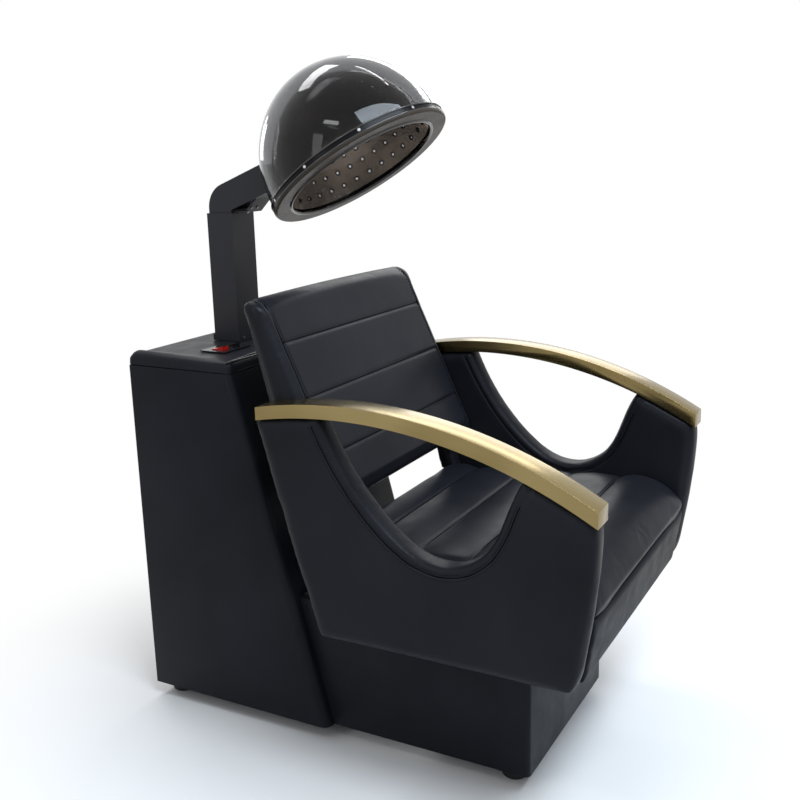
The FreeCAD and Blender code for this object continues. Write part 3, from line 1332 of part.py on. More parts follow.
def panel_outline():
    rear_top = front + num("dims.panel_rear_top")
    rear_mid = front + num("dims.panel_rear_mid")
    rear_low = front + num("dims.panel_rear_bottom")
    front_top = front + num("dims.panel_front_top")
    front_low = front + num("dims.panel_front_bottom")
    scoop_y0 = front + num("dims.scoop_front")
    scoop_y1 = front + num("dims.scoop_rear")
    top0, top1 = under_bar(scoop_y0), under_bar(scoop_y1)
    depth = (top0 + top1) / 2 - num("dims.scoop_bottom_height")
    points = [Vector(0, scoop_y0, top0 - gap)]
    for along, down in SCOOP_SHARES:
        lid = top0 + (top1 - top0) * along
        points.append(Vector(0, scoop_y0 + (scoop_y1 - scoop_y0) * along, lid - depth * down))
    points.append(Vector(0, scoop_y1, top1 - gap))
    scoop = Part.BSplineCurve()
    scoop.interpolate(points)

    def top_arc(y0, y1):
        return Part.Arc(*[Vector(0, y, under_bar(y) - gap) for y in (y0, (y0 + y1) / 2, y1)])

    rear_edge = Part.Arc(Vector(0, rear_top, under_bar(rear_top) - gap),
                         Vector(0, rear_mid, num("dims.panel_rear_mid_height")),
                         Vector(0, rear_low, deck))
    high = under_bar(front_top) - gap
    points = [Vector(0, front_low, deck)]
    for up, back in FRONT_SHARES:
        points.append(Vector(0, front_top + (front_low - front_top) * back, deck + (high - deck) * up))
    points.append(Vector(0, front_top, high))
    front_edge = Part.BSplineCurve()
    front_edge.interpolate(points)
    edges = [
        top_arc(front_top, scoop_y0), scoop, top_arc(scoop_y1, rear_top), rear_edge,
        Part.LineSegment(Vector(0, rear_low, deck), Vector(0, front_low, deck)), front_edge,
    ]
    return Part.Wire(Part.sortEdges([e.toShape() for e in edges])[0])


def panel_shape():
    """right-hand panel, its outline edges rounded over on both faces"""
    slab = Part.Face(panel_outline()).extrude(Vector(panel_out - panel_in, 0, 0))
    slab.translate(Vector(-panel_out, 0, 0))
    edge_round = num("dims.panel_edge_round")
    rim = [e for e in slab.Edges if e.BoundBox.XLength < gap]
    return slab.makeFillet(edge_round, rim)


back_width = num("dims.back_width")


def back_bolt_spots():
    """places of the backrest bolts on the middle plane of the battens"""
    spots = []
    for share in (0.2, 0.75):
        z = num("dims.back_bottom_height") + num("dims.back_batten_height") * share
        spots.append((rear_face(z) - num("dims.back_board_thick") - num("dims.back_batten_depth") / 2, z))
    return spots


def rear_face(z):
    """y of the backrest's rear face"""
    lean = num("dims.back_rear_lean_share")
    return front + num("dims.back_rear_reach") + lean * (z - num("dims.back_face_height"))


def front_face(z):
    """y of the backrest's seams on its front face"""
    lean = num("dims.back_face_lean_share")
    return front + num("dims.back_face_reach") + lean * (z - num("dims.back_face_height"))


back_bolt_r = num("dims.back_bolt_radius")
back_bolt_len = num("dims.back_bolt_length")
back_start = back_width / 2 - back_bolt_len / 2
back_bolts = []
back_tools = []
for y, z in back_bolt_spots():
    back_bolts += side_bolt(y, z, back_start, back_bolt_len, back_bolt_r, False)
    back_tools += side_bolt(y, z, back_start - gap, back_bolt_len + 2 * gap, back_bolt_r + gap / 3, False)
side_bolts = feature("side_bolts", Part.makeCompound(panel_bolts + back_bolts))
keep(group("frame_bolts", bolts + [side_bolts]), "frame_bolts")

right_panel = panel_shape()
left_panel = right_panel.mirror(Vector(), Vector(1, 0, 0))
side_tools = Part.makeCompound(panel_tools + stud_tools + back_tools)
keep(feature("side_panel_right", right_panel.cut(side_tools)), "side_panel_right")
keep(feature("side_panel_left", left_panel.cut(side_tools)), "side_panel_left")


# backrest: rear board with a batten at each side, and a channelled cushion
def leaning_slab(z0, z1, near, far, x0, x1):
    """slab parallel to the rear face, between two distances in front of it"""
    corners = [Vector(x0, rear_face(z0) - far, z0), Vector(x0, rear_face(z0) - near, z0),
               Vector(x0, rear_face(z1) - near, z1), Vector(x0, rear_face(z1) - far, z1)]
    return Part.Face(Part.makePolygon(corners + corners[:1])).extrude(Vector(x1 - x0, 0, 0))


back_half = back_width / 2
back_low = num("dims.back_bottom_height")
board_t = num("dims.back_board_thick")


def battens(grow):
    """the two side battens, or the room they need in the cushion"""
    low = num("dims.back_batten_foot") - grow
    high = back_low + num("dims.back_batten_height") + grow
    far = board_t + num("dims.back_batten_depth") + grow
    inner = back_half - num("dims.back_batten_width") - grow
    outer = back_half + grow
    return [leaning_slab(low, high, board_t - grow, far, *xs) for xs in ((-outer, -inner), (inner, outer))]


def back_frame():
    top = num("dims.back_top_height - dims.back_round - dims.back_side_draw - dims.fit_gap")
    board = leaning_slab(back_low, top, 0, board_t, -back_half, back_half)
    return board.multiFuse(battens(0)).removeSplitter().cut(Part.makeCompound(back_tools))


keep(feature("backrest_frame", back_frame()), "backrest_frame")


def chain(points, curves):
    """closed wire through points; curves gives each stretch's bulge vector, or None for a line"""
    edges = []
    count = len(points)
    for index in range(count):
        start, finish = points[index], points[(index + 1) % count]
        bulge = curves[index]
        if bulge is None:
            edges.append(Part.LineSegment(start, finish).toShape())
        else:
            edges.append(Part.Arc(start, (start + finish) * 0.5 + bulge, finish).toShape())
    return Part.Wire(edges)


def back_section(x, share):
    """profile of the backrest cushion at x; share is 1 in the middle and falls at its sides"""
    crown = num("dims.back_channel_crown") * (0.15 + 0.85 * share)
    draw = num("dims.back_side_draw") * (1 - share)
    z0 = num("dims.back_bottom_height") + draw
    z1 = num("dims.back_top_height") - draw
    round_r = num("dims.back_round")
    thick_y = num("dims.back_board_thick") + gap
    seam = num("dims.back_seam_top")
    pitch = num("dims.back_seam_pitch")
    lean = Vector(0, -1, num("dims.back_face_lean_share")).normalize()
    seams = [seam - pitch * 2, seam - pitch, seam]

    def face(z):
        return Vector(x, front_face(z) + draw, z)

    def behind(z):
        return Vector(x, rear_face(z) - thick_y, z)

    inner_top = z1 - round_r
    points = [behind(z0), Vector(x, face(z0).y + round_r * 1.2, z0), face(z0 + round_r)]
    curves = [None, Vector(0, -1, -1) * round_r * 0.25]
    points += [face(z) for z in seams]
    curves += [lean * crown * 1.2, lean * crown, lean * crown]
    points.append(face(inner_top))
    curves.append(lean * crown)
    points.append(Vector(x, (face(inner_top).y + rear_face(inner_top)) / 2, z1))
    points.append(Vector(x, rear_face(inner_top), inner_top))
    curves += [Vector(0, -1, 1) * round_r * 0.22, Vector(0, 1, 1) * round_r * 0.22]
    points.append(behind(inner_top))
    curves += [None, None]
    return chain(points, curves)


# how far across each section stands, as shares of the half width, and how full it is there
HALF_SHARES = ((1, 0.0), (0.98, 0.5), (0.93, 0.8), (0.8, 0.96))
ACROSS_SHARES = [(-x, full) for x, full in HALF_SHARES] + [(x, full) for x, full in HALF_SHARES[::-1]]


def back_cushion():
    half = back_width / 2
    wires = [back_section(half * x, share) for x, share in ACROSS_SHARES]
    return Part.makeLoft(wires, True, True).cut(Part.makeCompound(battens(gap)))


keep(feature("backrest_cushion", back_cushion()), "backrest_cushion")


# seat cushion with cross channels and a waterfall nose
def seat_section(x, share):
    fullness = 0.35 + 0.65 * share
    crown = num("dims.seat_channel_crown") * fullness
    lift = num("dims.seat_cross_crown") * share
    draw = num("dims.seat_side_draw") * (1 - share)
    rear = front + num("dims.seat_rear_reach") - draw
    nose = front + num("dims.seat_front_gap") + draw
    low = num(SEAT_BASE) + gap
    apron_top = num("dims.apron_top_height") + gap
    seam_rear = num("dims.seat_seam_rear_height")
    seam_front = num("dims.seat_seam_front_height")
    ys = [front + num(f"dims.seat_seam_{word}") for word in ("one", "two", "three", "four")]
    span = ys[0] - ys[-1]

    def top(y):
        return Vector(x, y, seam_rear + (seam_front - seam_rear) * (ys[0] - y) / span + lift - draw)

    lip = front + num("dims.apron_top_inset")
    lip_back = lip + num("dims.apron_thick") + gap
    apron_lean = num("dims.apron_bottom_inset - dims.apron_top_inset")
    slope = apron_lean / num("dims.apron_top_height - dims.deck_height")
    low_front = lip_back + slope * (num("dims.apron_top_height") - low) + gap
    rear_round = num("dims.seat_rear_round")
    rear_top = num("dims.seat_rear_height") + lift - draw
    points = [Vector(x, low_front, low), Vector(x, rear, low), Vector(x, rear, rear_top - rear_round),
              Vector(x, rear - rear_round, rear_top)]
    curves = [None, Vector(0, 1, 0) * crown / 2, Vector(0, 1, 1) * rear_round * 0.2]
    points += [top(y) for y in ys]
    curves += [Vector(0, 0, crown)] * 4
    points.append(Vector(x, nose, num("dims.seat_nose_height")))
    curves.append(Vector(0, -1, 1) * num("dims.seat_nose_bulge") * fullness)
    points += [Vector(x, lip + gap, apron_top), Vector(x, lip_back, apron_top)]
    curves += [Vector(0, -1, -0.3) * crown / 4, None, None]
    return chain(points, curves)


def seat_cushion():
    half = num("dims.seat_width") / 2 - 2 * gap
    wires = [seat_section(half * x, share) for x, share in ACROSS_SHARES]
    return Part.makeLoft(wires, True, True)


keep(feature("seat_cushion", seat_cushion()), "seat_cushion")

# apron under the seat's nose
APRON_TOP = "dims.apron_top_height"
corners = [
    (f"{FRONT} + dims.apron_bottom_inset", DECK),
    (f"{FRONT} + dims.apron_bottom_inset + dims.apron_thick", DECK),
    (f"{FRONT} + dims.apron_top_inset + dims.apron_thick", APRON_TOP),
    (f"{FRONT} + dims.apron_top_inset", APRON_TOP),
]
keep(side_outline("seat_apron", corners, f"-{BETWEEN}", f"2 * {BETWEEN}"), "seat_apron")

doc.recompute()

# every object is checked before anything is written
for obj in doc.Objects:
    if "Invalid" in obj.State or "Error" in obj.State:
        raise RuntimeError(f"{obj.Name} did not build: {obj.State}")
for piece in pieces:
    shape = piece.Shape
    if shape.isNull() or not shape.isValid() or not shape.Solids:
        raise RuntimeError(f"{piece.Label} has no sound solid")

os.makedirs("parts", exist_ok=True)
for piece in pieces:
    piece.Shape.exportStep(f"parts/{piece.Label}.step")
    box = piece.Shape.optimalBoundingBox(False)
    reach = (box.XMin, box.XMax, box.YMin, box.YMax, box.ZMin, box.ZMax)
    print(f"{piece.Label:24s} solids {len(piece.Shape.Solids):2d} ", *(f"{value:7.1f}" for value in reach))
print(len(pieces), "pieces")
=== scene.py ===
import bpy
import json
import math
import numpy as np
from mathutils import Matrix, Vector

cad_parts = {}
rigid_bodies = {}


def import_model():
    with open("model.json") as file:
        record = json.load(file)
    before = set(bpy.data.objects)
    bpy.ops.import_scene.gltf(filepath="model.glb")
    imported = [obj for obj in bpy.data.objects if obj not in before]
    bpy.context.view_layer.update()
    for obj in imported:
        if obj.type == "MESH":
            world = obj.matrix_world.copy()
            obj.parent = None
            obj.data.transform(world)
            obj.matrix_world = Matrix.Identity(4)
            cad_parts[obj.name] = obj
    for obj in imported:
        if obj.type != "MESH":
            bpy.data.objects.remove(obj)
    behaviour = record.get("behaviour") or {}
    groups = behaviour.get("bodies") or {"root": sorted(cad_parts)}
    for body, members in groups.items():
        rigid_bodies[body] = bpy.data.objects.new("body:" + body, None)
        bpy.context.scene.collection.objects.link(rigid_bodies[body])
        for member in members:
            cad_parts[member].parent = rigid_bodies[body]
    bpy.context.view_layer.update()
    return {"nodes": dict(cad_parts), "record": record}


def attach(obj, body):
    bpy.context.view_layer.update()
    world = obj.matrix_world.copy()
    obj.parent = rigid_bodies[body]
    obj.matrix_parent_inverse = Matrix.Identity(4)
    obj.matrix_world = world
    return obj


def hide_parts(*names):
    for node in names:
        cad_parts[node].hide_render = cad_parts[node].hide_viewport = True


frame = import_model()
print("frame loaded:", len(frame["nodes"]), "nodes")


# small helpers for working as by hand, and the values they share
tools = {
    "mergeGap": 0.00005, "firstRadius": 0.1, "near": 0.001, "nearer": 0.0005, "facing": 0.9, "lineSteps": 40,
}


def setMode(mode):
    bpy.ops.object.mode_set(mode=mode)


def deselectAll():
    if bpy.context.mode != "OBJECT":
        setMode("OBJECT")
    bpy.ops.object.select_all(action="DESELECT")


def activate(piece):
    deselectAll()
    piece.select_set(True)
    bpy.context.view_layer.objects.active = piece


def applyModifier(piece, kind, **values):
    activate(piece)
    modifier = piece.modifiers.new(kind.title(), kind)
    for key, value in values.items():
        setattr(modifier, key, value)
    bpy.ops.object.modifier_apply(modifier=modifier.name)


def rename(piece, name):
    piece.name = name
    piece.data.name = name


def settle(piece):
    activate(piece)
    bpy.ops.object.transform_apply(location=True, rotation=True, scale=True)


def faceOut(piece):
    activate(piece)
    setMode("EDIT")
    bpy.ops.mesh.select_all(action="SELECT")
    bpy.ops.mesh.remove_doubles(threshold=tools["mergeGap"])
    bpy.ops.mesh.select_all(action="SELECT")
    bpy.ops.mesh.normals_make_consistent(inside=False)
    setMode("OBJECT")


def copyNode(node, name):
    # the CAD solid's own mesh, its loose triangles merged, as a start for a cover
    piece = frame["nodes"][node].copy()
    piece.data = piece.data.copy()
    bpy.context.collection.objects.link(piece)
    rename(piece, name)
    piece.data.materials.clear()
    activate(piece)
    bpy.ops.object.parent_clear(type="CLEAR_KEEP_TRANSFORM")
    settle(piece)
    faceOut(piece)
    return piece


def joinPieces(pieces, name):
    deselectAll()
    for piece in pieces:
        piece.select_set(True)
    bpy.context.view_layer.objects.active = pieces[0]
    bpy.ops.object.join()
    rename(pieces[0], name)
    return pieces[0]


def outlineSolid(name, outline, start, thickness):
    # a ring of points in the YZ plane, filled and pulled out along X
    deselectAll()
    bpy.ops.mesh.primitive_circle_add(vertices=len(outline), radius=tools["firstRadius"], fill_type="NGON")
    piece = bpy.context.object
    rename(piece, name)
    for vertex, (y, z) in zip(piece.data.vertices, outline):
        vertex.co = (start, y, z)
    setMode("EDIT")
    bpy.ops.mesh.select_all(action="SELECT")
    bpy.ops.mesh.extrude_region_move(TRANSFORM_OT_translate={"value": (thickness, 0, 0)})
    setMode("OBJECT")
    faceOut(piece)
    return piece


def selectEdges(piece, wanted):
    # selects the edges whose two ends pass the test, and leaves edit mode on
    activate(piece)
    setMode("EDIT")
    bpy.ops.mesh.select_mode(type="EDGE")
    bpy.ops.mesh.select_all(action="DESELECT")
    setMode("OBJECT")
    for edge in piece.data.edges:
        edge.select = wanted(*[piece.data.vertices[index].co for index in edge.vertices])
    setMode("EDIT")


def bevelEdges(piece, wanted, width, segments):
    selectEdges(piece, wanted)
    bpy.ops.mesh.bevel(offset=width, segments=segments, profile=0.5, affect="EDGES", clamp_overlap=True)
    setMode("OBJECT")


def deleteFaces(piece, wanted):
    activate(piece)
    setMode("EDIT")
    bpy.ops.mesh.select_mode(type="FACE")
    bpy.ops.mesh.select_all(action="DESELECT")
    setMode("OBJECT")
    for face in piece.data.polygons:
        face.select = wanted(face.normal)
    setMode("EDIT")
    bpy.ops.mesh.delete(type="FACE")
    setMode("OBJECT")


def readTriples(rows, word):
    values = np.empty(len(rows) * 3, np.float32)
    rows.foreach_get(word, values)
    return values.reshape(-1, 3).astype(float)


def readPoints(piece):
    return readTriples(piece.data.vertices, "co")


def readNormals(piece):
    return readTriples(piece.data.vertex_normals, "vector")


def writePoints(piece, points):
    piece.data.vertices.foreach_set("co", points.astype(np.float32).ravel())
    piece.data.update()


def smoothFaces(piece, angle=None):
    activate(piece)
    if angle is None:
        bpy.ops.object.shade_smooth()
    else:
        bpy.ops.object.shade_smooth_by_angle(angle=math.radians(angle))


def softenEdges(piece, width, segments, sharpFrom, smoothTo):
    # bevels the edges sharper than one angle, and shades those below another as smooth
    applyModifier(piece, "BEVEL", width=width, segments=segments, limit_method="ANGLE",
                  angle_limit=math.radians(sharpFrom))
    smoothFaces(piece, smoothTo)


def finishPiece(piece, material, nodes=(), body="base"):
    piece.data.materials.clear()
    piece.data.materials.append(material)
    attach(piece, body)
    if nodes:
        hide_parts(*nodes)


# materials: each finish has its own function
def newMaterial(name):
    material = bpy.data.materials.new(name)
    material.use_nodes = True
    nodes = material.node_tree.nodes
    nodes.clear()
    output = nodes.new("ShaderNodeOutputMaterial")
    shader = nodes.new("ShaderNodeBsdfPrincipled")
    material.node_tree.links.new(shader.outputs["BSDF"], output.inputs["Surface"])
    return material, nodes, material.node_tree.links, shader


def setInputs(links, node, values):
    # gives each named input its value, or links it to another node's output
    for word, value in values.items():
        if isinstance(value, (int, float, tuple)):
            node.inputs[word].default_value = value
        else:
            links.new(value, node.inputs[word])


def objectPattern(nodes, links, stretch=(1, 1, 1)):
    place = nodes.new("ShaderNodeTexCoord")
    mapping = nodes.new("ShaderNodeMapping")
    setInputs(links, mapping, {"Vector": place.outputs["Object"], "Scale": stretch})
    return mapping.outputs["Vector"]


def noisePattern(nodes, links, vector, scale, detail=4, rough=0.5):
    noise = nodes.new("ShaderNodeTexNoise")
    setInputs(links, noise, {"Vector": vector, "Scale": scale, "Detail": detail, "Roughness": rough})
    return noise.outputs["Fac"]


def spread(nodes, links, value, low, high):
    # a pattern mostly stays between 0.3 and 0.7: that part is spread from low to high
    ramp = nodes.new("ShaderNodeMapRange")
    setInputs(links, ramp, {"Value": value, "From Min": 0.3, "From Max": 0.7, "To Min": low, "To Max": high})
    return ramp.outputs["Result"]


def mixColours(nodes, links, factor, first, second):
    mix = nodes.new("ShaderNodeMix")
    mix.data_type = "RGBA"
    setInputs(links, mix, {"Factor": factor, "A": (*first, 1), "B": (*second, 1)})
    return mix.outputs["Result"]


def bumpFrom(nodes, links, height, depth, strength, under=None):
    bump = nodes.new("ShaderNodeBump")
    setInputs(links, bump, {"Height": height, "Distance": depth, "Strength": strength})
    if under is not None:
        links.new(under, bump.inputs["Normal"])
    return bump.outputs["Normal"]


def shade(colour, share):
    return tuple(min(1, part * share) for part in colour)


leather = {
    "dark": (0.0078, 0.0086, 0.0116), "light": (0.0130, 0.0143, 0.0186), "roughLow": 0.31, "roughHigh": 0.41,
    "specular": 0.085, "cloudScale": 5, "wearScale": 26,
    "grainScale": 620, "grainDepth": 0.00007, "grainStrength": 0.35,
    "foldScale": 9, "foldDepth": 0.0016, "foldStrength": 0.5,
}


def makeLeather(name, folds=1.0, shine=1.0):
    # clouded leather with a fine grain over soft folds
    material, nodes, links, shader = newMaterial(name)
    vector = objectPattern(nodes, links)
    cloud = noisePattern(nodes, links, vector, leather["cloudScale"], detail=3)
    wear = noisePattern(nodes, links, vector, leather["wearScale"], detail=5)
    grain = nodes.new("ShaderNodeTexVoronoi")
    setInputs(links, grain, {"Vector": vector, "Scale": leather["grainScale"]})
    fold = noisePattern(nodes, links, vector, leather["foldScale"], detail=2)
    soft = bumpFrom(nodes, links, fold, leather["foldDepth"] * folds, leather["foldStrength"])
    share = spread(nodes, links, cloud, low=0, high=1)
    setInputs(links, shader, {
        "Base Color": mixColours(nodes, links, share, leather["dark"], leather["light"]),
        "Roughness": spread(nodes, links, wear, leather["roughLow"], leather["roughHigh"]),
        "Specular IOR Level": leather["specular"] * shine,
        "Normal": bumpFrom(nodes, links, grain.outputs["Distance"], leather["grainDepth"],
                           leather["grainStrength"], under=soft),
    })
    return material


gold = {
    "bright": (0.315, 0.250, 0.115), "deep": (0.165, 0.121, 0.048), "roughLow": 0.17, "roughHigh": 0.27,
    "brushStretch": (520, 6, 520), "brushScale": 3, "brushShare": 0.35, "brushDepth": 0.00006,
    "patchScale": 5, "patchLow": 0.05, "patchHigh": 0.65,
}


def makeGold():
    # brushed along the bar, a little brighter in patches
    material, nodes, links, shader = newMaterial("satinGold")
    vector = objectPattern(nodes, links, gold["brushStretch"])
    brush = noisePattern(nodes, links, vector, gold["brushScale"], detail=3, rough=0.6)
    patch = noisePattern(nodes, links, objectPattern(nodes, links), gold["patchScale"], detail=2)
    blend = nodes.new("ShaderNodeMath")
    blend.operation = "MULTIPLY_ADD"
    setInputs(links, blend, {
        0: brush, 1: gold["brushShare"], 2: spread(nodes, links, patch, gold["patchLow"], gold["patchHigh"]),
    })
    setInputs(links, shader, {
        "Base Color": mixColours(nodes, links, blend.outputs[0], gold["deep"], gold["bright"]),
        "Roughness": spread(nodes, links, brush, gold["roughLow"], gold["roughHigh"]),
        "Metallic": 1,
        "Normal": bumpFrom(nodes, links, brush, gold["brushDepth"], strength=0.12),
    })
    return material


powder = {
    "dark": (0.009, 0.009, 0.013), "light": (0.015, 0.015, 0.021), "cloudScale": 12,
    "roughLow": 0.42, "roughHigh": 0.52, "specular": 0.26, "speckScale": 900, "speckDepth": 0.00015,
}


def makeBlackMetal():
    material, nodes, links, shader = newMaterial("powderCoat")
    vector = objectPattern(nodes, links)
    speck = noisePattern(nodes, links, vector, powder["speckScale"], detail=2)
    cloud = noisePattern(nodes, links, vector, powder["cloudScale"], detail=3)
    setInputs(links, shader, {
        "Base Color": mixColours(nodes, links, cloud, powder["dark"], powder["light"]),
        "Roughness": spread(nodes, links, cloud, powder["roughLow"], powder["roughHigh"]),
        "Specular IOR Level": powder["specular"],
        "Normal": bumpFrom(nodes, links, speck, powder["speckDepth"], strength=0.25),
    })
    return material


def makeGloss(name, colour, rough=0.12, specular=0.5, ripple=0.0002):
    # moulded plastic with a faint ripple and handling haze
    material, nodes, links, shader = newMaterial(name)
    vector = objectPattern(nodes, links)
    haze = noisePattern(nodes, links, vector, scale=18)
    wave = noisePattern(nodes, links, vector, scale=14, detail=1)
    setInputs(links, shader, {
        "Base Color": mixColours(nodes, links, haze, shade(colour, share=0.75), colour),
        "Roughness": spread(nodes, links, haze, low=rough * 0.8, high=rough * 1.3),
        "Specular IOR Level": specular,
        "Normal": bumpFrom(nodes, links, wave, ripple, strength=0.3),
    })
    return material


def makeMatte(name, colour, rough=0.55, specular=0.35, scale=300):
    material, nodes, links, shader = newMaterial(name)
    speck = noisePattern(nodes, links, objectPattern(nodes, links), scale)
    setInputs(links, shader, {
        "Base Color": mixColours(nodes, links, speck, colour, shade(colour, share=1.35)),
        "Roughness": spread(nodes, links, speck, low=rough * 0.85, high=rough * 1.1),
        "Specular IOR Level": specular,
        "Normal": bumpFrom(nodes, links, speck, depth=0.0002, strength=0.25),
    })
    return material


def makeMetal(name, colour, rough, stretch=(1, 1, 1)):
    material, nodes, links, shader = newMaterial(name)
    brush = noisePattern(nodes, links, objectPattern(nodes, links, stretch), scale=160)
    setInputs(links, shader, {
        "Base Color": mixColours(nodes, links, brush, shade(colour, share=0.8), colour),
        "Roughness": spread(nodes, links, brush, low=rough * 0.8, high=rough * 1.3),
        "Metallic": 1,
        "Normal": bumpFrom(nodes, links, brush, depth=0.0001, strength=0.15),
    })
    return material


board = {
    "dark": (0.010, 0.009, 0.008), "light": (0.028, 0.024, 0.020), "stretch": (14, 3, 40),
    "rough": 0.62, "specular": 0.25, "grainDepth": 0.0004,
}


def makeBoard():
    # plywood stained black, its grain still showing
    material, nodes, links, shader = newMaterial("stainedBoard")
    vector = objectPattern(nodes, links, board["stretch"])
    ring = noisePattern(nodes, links, vector, scale=3, detail=6, rough=0.6)
    share = spread(nodes, links, ring, low=0, high=1)
    setInputs(links, shader, {
        "Base Color": mixColours(nodes, links, share, board["dark"], board["light"]),
        "Roughness": board["rough"],
        "Specular IOR Level": board["specular"],
        "Normal": bumpFrom(nodes, links, ring, board["grainDepth"], strength=0.3),
    })
    return material


smoke = {
    "smokedDome": {"tint": (0.375, 0.378, 0.392), "ior": 1.25, "rough": 0.012, "ripple": 0.0012},
    "innerShell": {"tint": (0.262, 0.212, 0.168), "deep": (0.026, 0.025, 0.026), "ior": 1.27, "rough": 0.04,
                   "ripple": 0.0018},
    "filmScale": 7, "waveScale": 9, "filmShare": 0.86,
}


def makeSmoke(name):
    # clear plastic, its tint clouded by a film of dust
    facts = smoke[name]
    material, nodes, links, shader = newMaterial(name)
    vector = objectPattern(nodes, links)
    film = noisePattern(nodes, links, vector, smoke["filmScale"])
    deep = facts.get("deep") or shade(facts["tint"], smoke["filmShare"])
    wave = noisePattern(nodes, links, vector, smoke["waveScale"], detail=2)
    share = spread(nodes, links, film, low=0, high=1)
    setInputs(links, shader, {
        "Base Color": mixColours(nodes, links, share, deep, facts["tint"]),
        "Roughness": facts["rough"],
        "Transmission Weight": 1,
        "IOR": facts["ior"],
        "Normal": bumpFrom(nodes, links, wave, facts["ripple"], strength=0.25),
    })
    return material


blackLeather = makeLeather("blackLeather")
boardLeather = makeLeather("boardLeather", folds=0.35, shine=0.8)
seatLeather = makeLeather("seatLeather", folds=1, shine=0.7)
apronLeather = makeLeather("apronLeather", folds=0.3, shine=0.22)
satinGold = makeGold()
rimGloss = makeGloss("rimPlastic", (0.006, 0.006, 0.007), rough=0.10, specular=0.20)
beadGloss = makeGloss("beadGloss", (0.008, 0.008, 0.009), rough=0.07, specular=0.75)
pipingFinish = makeGloss("pipingGloss", (0.012, 0.013, 0.016), rough=0.24, specular=0.40)
threadFinish = makeMatte("blackThread", (0.006, 0.006, 0.008), rough=0.7, specular=0.08, scale=900)
# painted shade: a near-black matte for the cords laid in the seam grooves, darker than the leather round them
seamShadeFinish = makeMatte("paintedSeamShade", (0.0015, 0.0015, 0.002), rough=0.8, specular=0.03, scale=900)
slotMaterials = {
    "black_leather": boardLeather,
    "gold_bar": satinGold,
    "black_metal": makeBlackMetal(),
    "smoked_dome": makeSmoke("smokedDome"),
    "inner_shell": makeSmoke("innerShell"),
    "rim_plastic": makeGloss("bandPlastic", (0.006, 0.006, 0.007), rough=0.22, specular=0.08),
    "ring_plastic": makeGloss("ringPlastic", (0.056, 0.045, 0.037), rough=0.26, specular=0.07),
    "chrome_screw": makeMetal("chromeScrew", (0.62, 0.62, 0.63), rough=0.14),
    "steel_fastener": makeMetal("darkZinc", (0.20, 0.20, 0.20), rough=0.34),
    "guide_plastic": makeMatte("guideNylon", (0.035, 0.035, 0.036), rough=0.42),
    "switch_plastic": makeGloss("switchPlastic", (0.010, 0.010, 0.011), rough=0.16, specular=0.3),
    "red_rocker": makeGloss("redRocker", (0.50, 0.012, 0.008), rough=0.14),
    "board_wood": makeBoard(),
    "blower_metal": makeMetal("blowerSheet", (0.62, 0.63, 0.64), rough=0.34, stretch=(1, 12, 1)),
    "grille_plastic": makeMatte("grillePlastic", (0.020, 0.020, 0.021), rough=0.5),
    "foot_rubber": makeMatte("footRubber", (0.010, 0.010, 0.010), rough=0.48, specular=0.3),
    "motor_steel": makeMetal("motorSteel", (0.42, 0.42, 0.43), rough=0.36, stretch=(8, 1, 1)),
}
slotOf = {part["node"]: part["material_slot"] for part in frame["record"]["subparts"]}
for nodeName, node in frame["nodes"].items():
    node.data.materials.clear()
    node.data.materials.append(slotMaterials[slotOf[nodeName]])
frame["nodes"]["arm_screws"].data.materials[0] = slotMaterials["steel_fastener"]
print("materials made:", len(slotMaterials))

# camera, as the photograph was taken
shot = {"place": (-1.69828, -0.91213, 1.11177), "azimuth": -61.29, "elevation": 13.83, "roll": -1.44,
        "lens": 46.32, "sensor": 36}
cameraData = bpy.data.cameras.new("camera")
cameraData.lens = shot["lens"]
cameraData.sensor_width = shot["sensor"]
cameraData.dof.use_dof = False
camera = bpy.data.objects.new("camera", cameraData)
bpy.context.scene.collection.objects.link(camera)
turn = Matrix.Rotation(math.radians(shot["azimuth"]), 4, "Z")
turn = turn @ Matrix.Rotation(math.radians(90 - shot["elevation"]), 4, "X")
turn = turn @ Matrix.Rotation(math.radians(shot["roll"]), 4, "Z")
camera.matrix_world = Matrix.Translation(shot["place"]) @ turn
bpy.context.scene.camera = camera
bpy.context.scene.view_settings.view_transform = "Standard"

# floor, backdrop light and lamps
studio = {
    "floorSize": 30, "floorTone": 0.88, "clearFrom": 0.55, "clearTo": 1.15, "fill": 0.36,
    "fillTint": (0.93, 0.96, 1),
}
lamps = {
    "ceilingFront": {"place": (-0.5, -1.55, 3.1), "aim": (0, -0.2, 0.4), "size": (2.4, 0.9), "watts": 104,
                     "tint": (0.80, 0.90, 1)},
    "ceilingRear": {"place": (0.5, 1.5, 3.1), "aim": (0, 0.1, 0.6), "size": (1.4, 0.5), "watts": 22},
    "sideSoft": {"place": (-2.9, 0.9, 1.9), "aim": (0, 0.1, 0.6), "size": (0.6, 1.3), "watts": 8},
    "farWindow": {"place": (2.15, 0.45, 2.25), "aim": (0, 0, 0.9), "size": (1.7, 0.45), "watts": 12},
    "farPane": {"place": (2.2, 0.35, 1.40), "aim": (0.3, -0.1, 0.65), "size": (1.2, 0.8), "watts": 6},
    "thinTube": {"place": (0.92, -0.02, 3.05), "aim": (0, 0.1, 1.1), "size": (1.1, 0.035), "watts": 4},
    "rearPane": {"place": (0.72, 2.34, 1.36), "aim": (0, 0.1, 1.1), "size": (0.11, 0.60), "watts": 2},
    "rearPaneTwo": {"place": (1.02, 2.22, 1.36), "aim": (0, 0.1, 1.1), "size": (0.13, 0.60), "watts": 2.4},
    "overShoulder": {"place": (-1.85, 0.12, 2.62), "aim": (0, 0.1, 1.1), "size": (0.62, 0.16), "watts": 4},
}


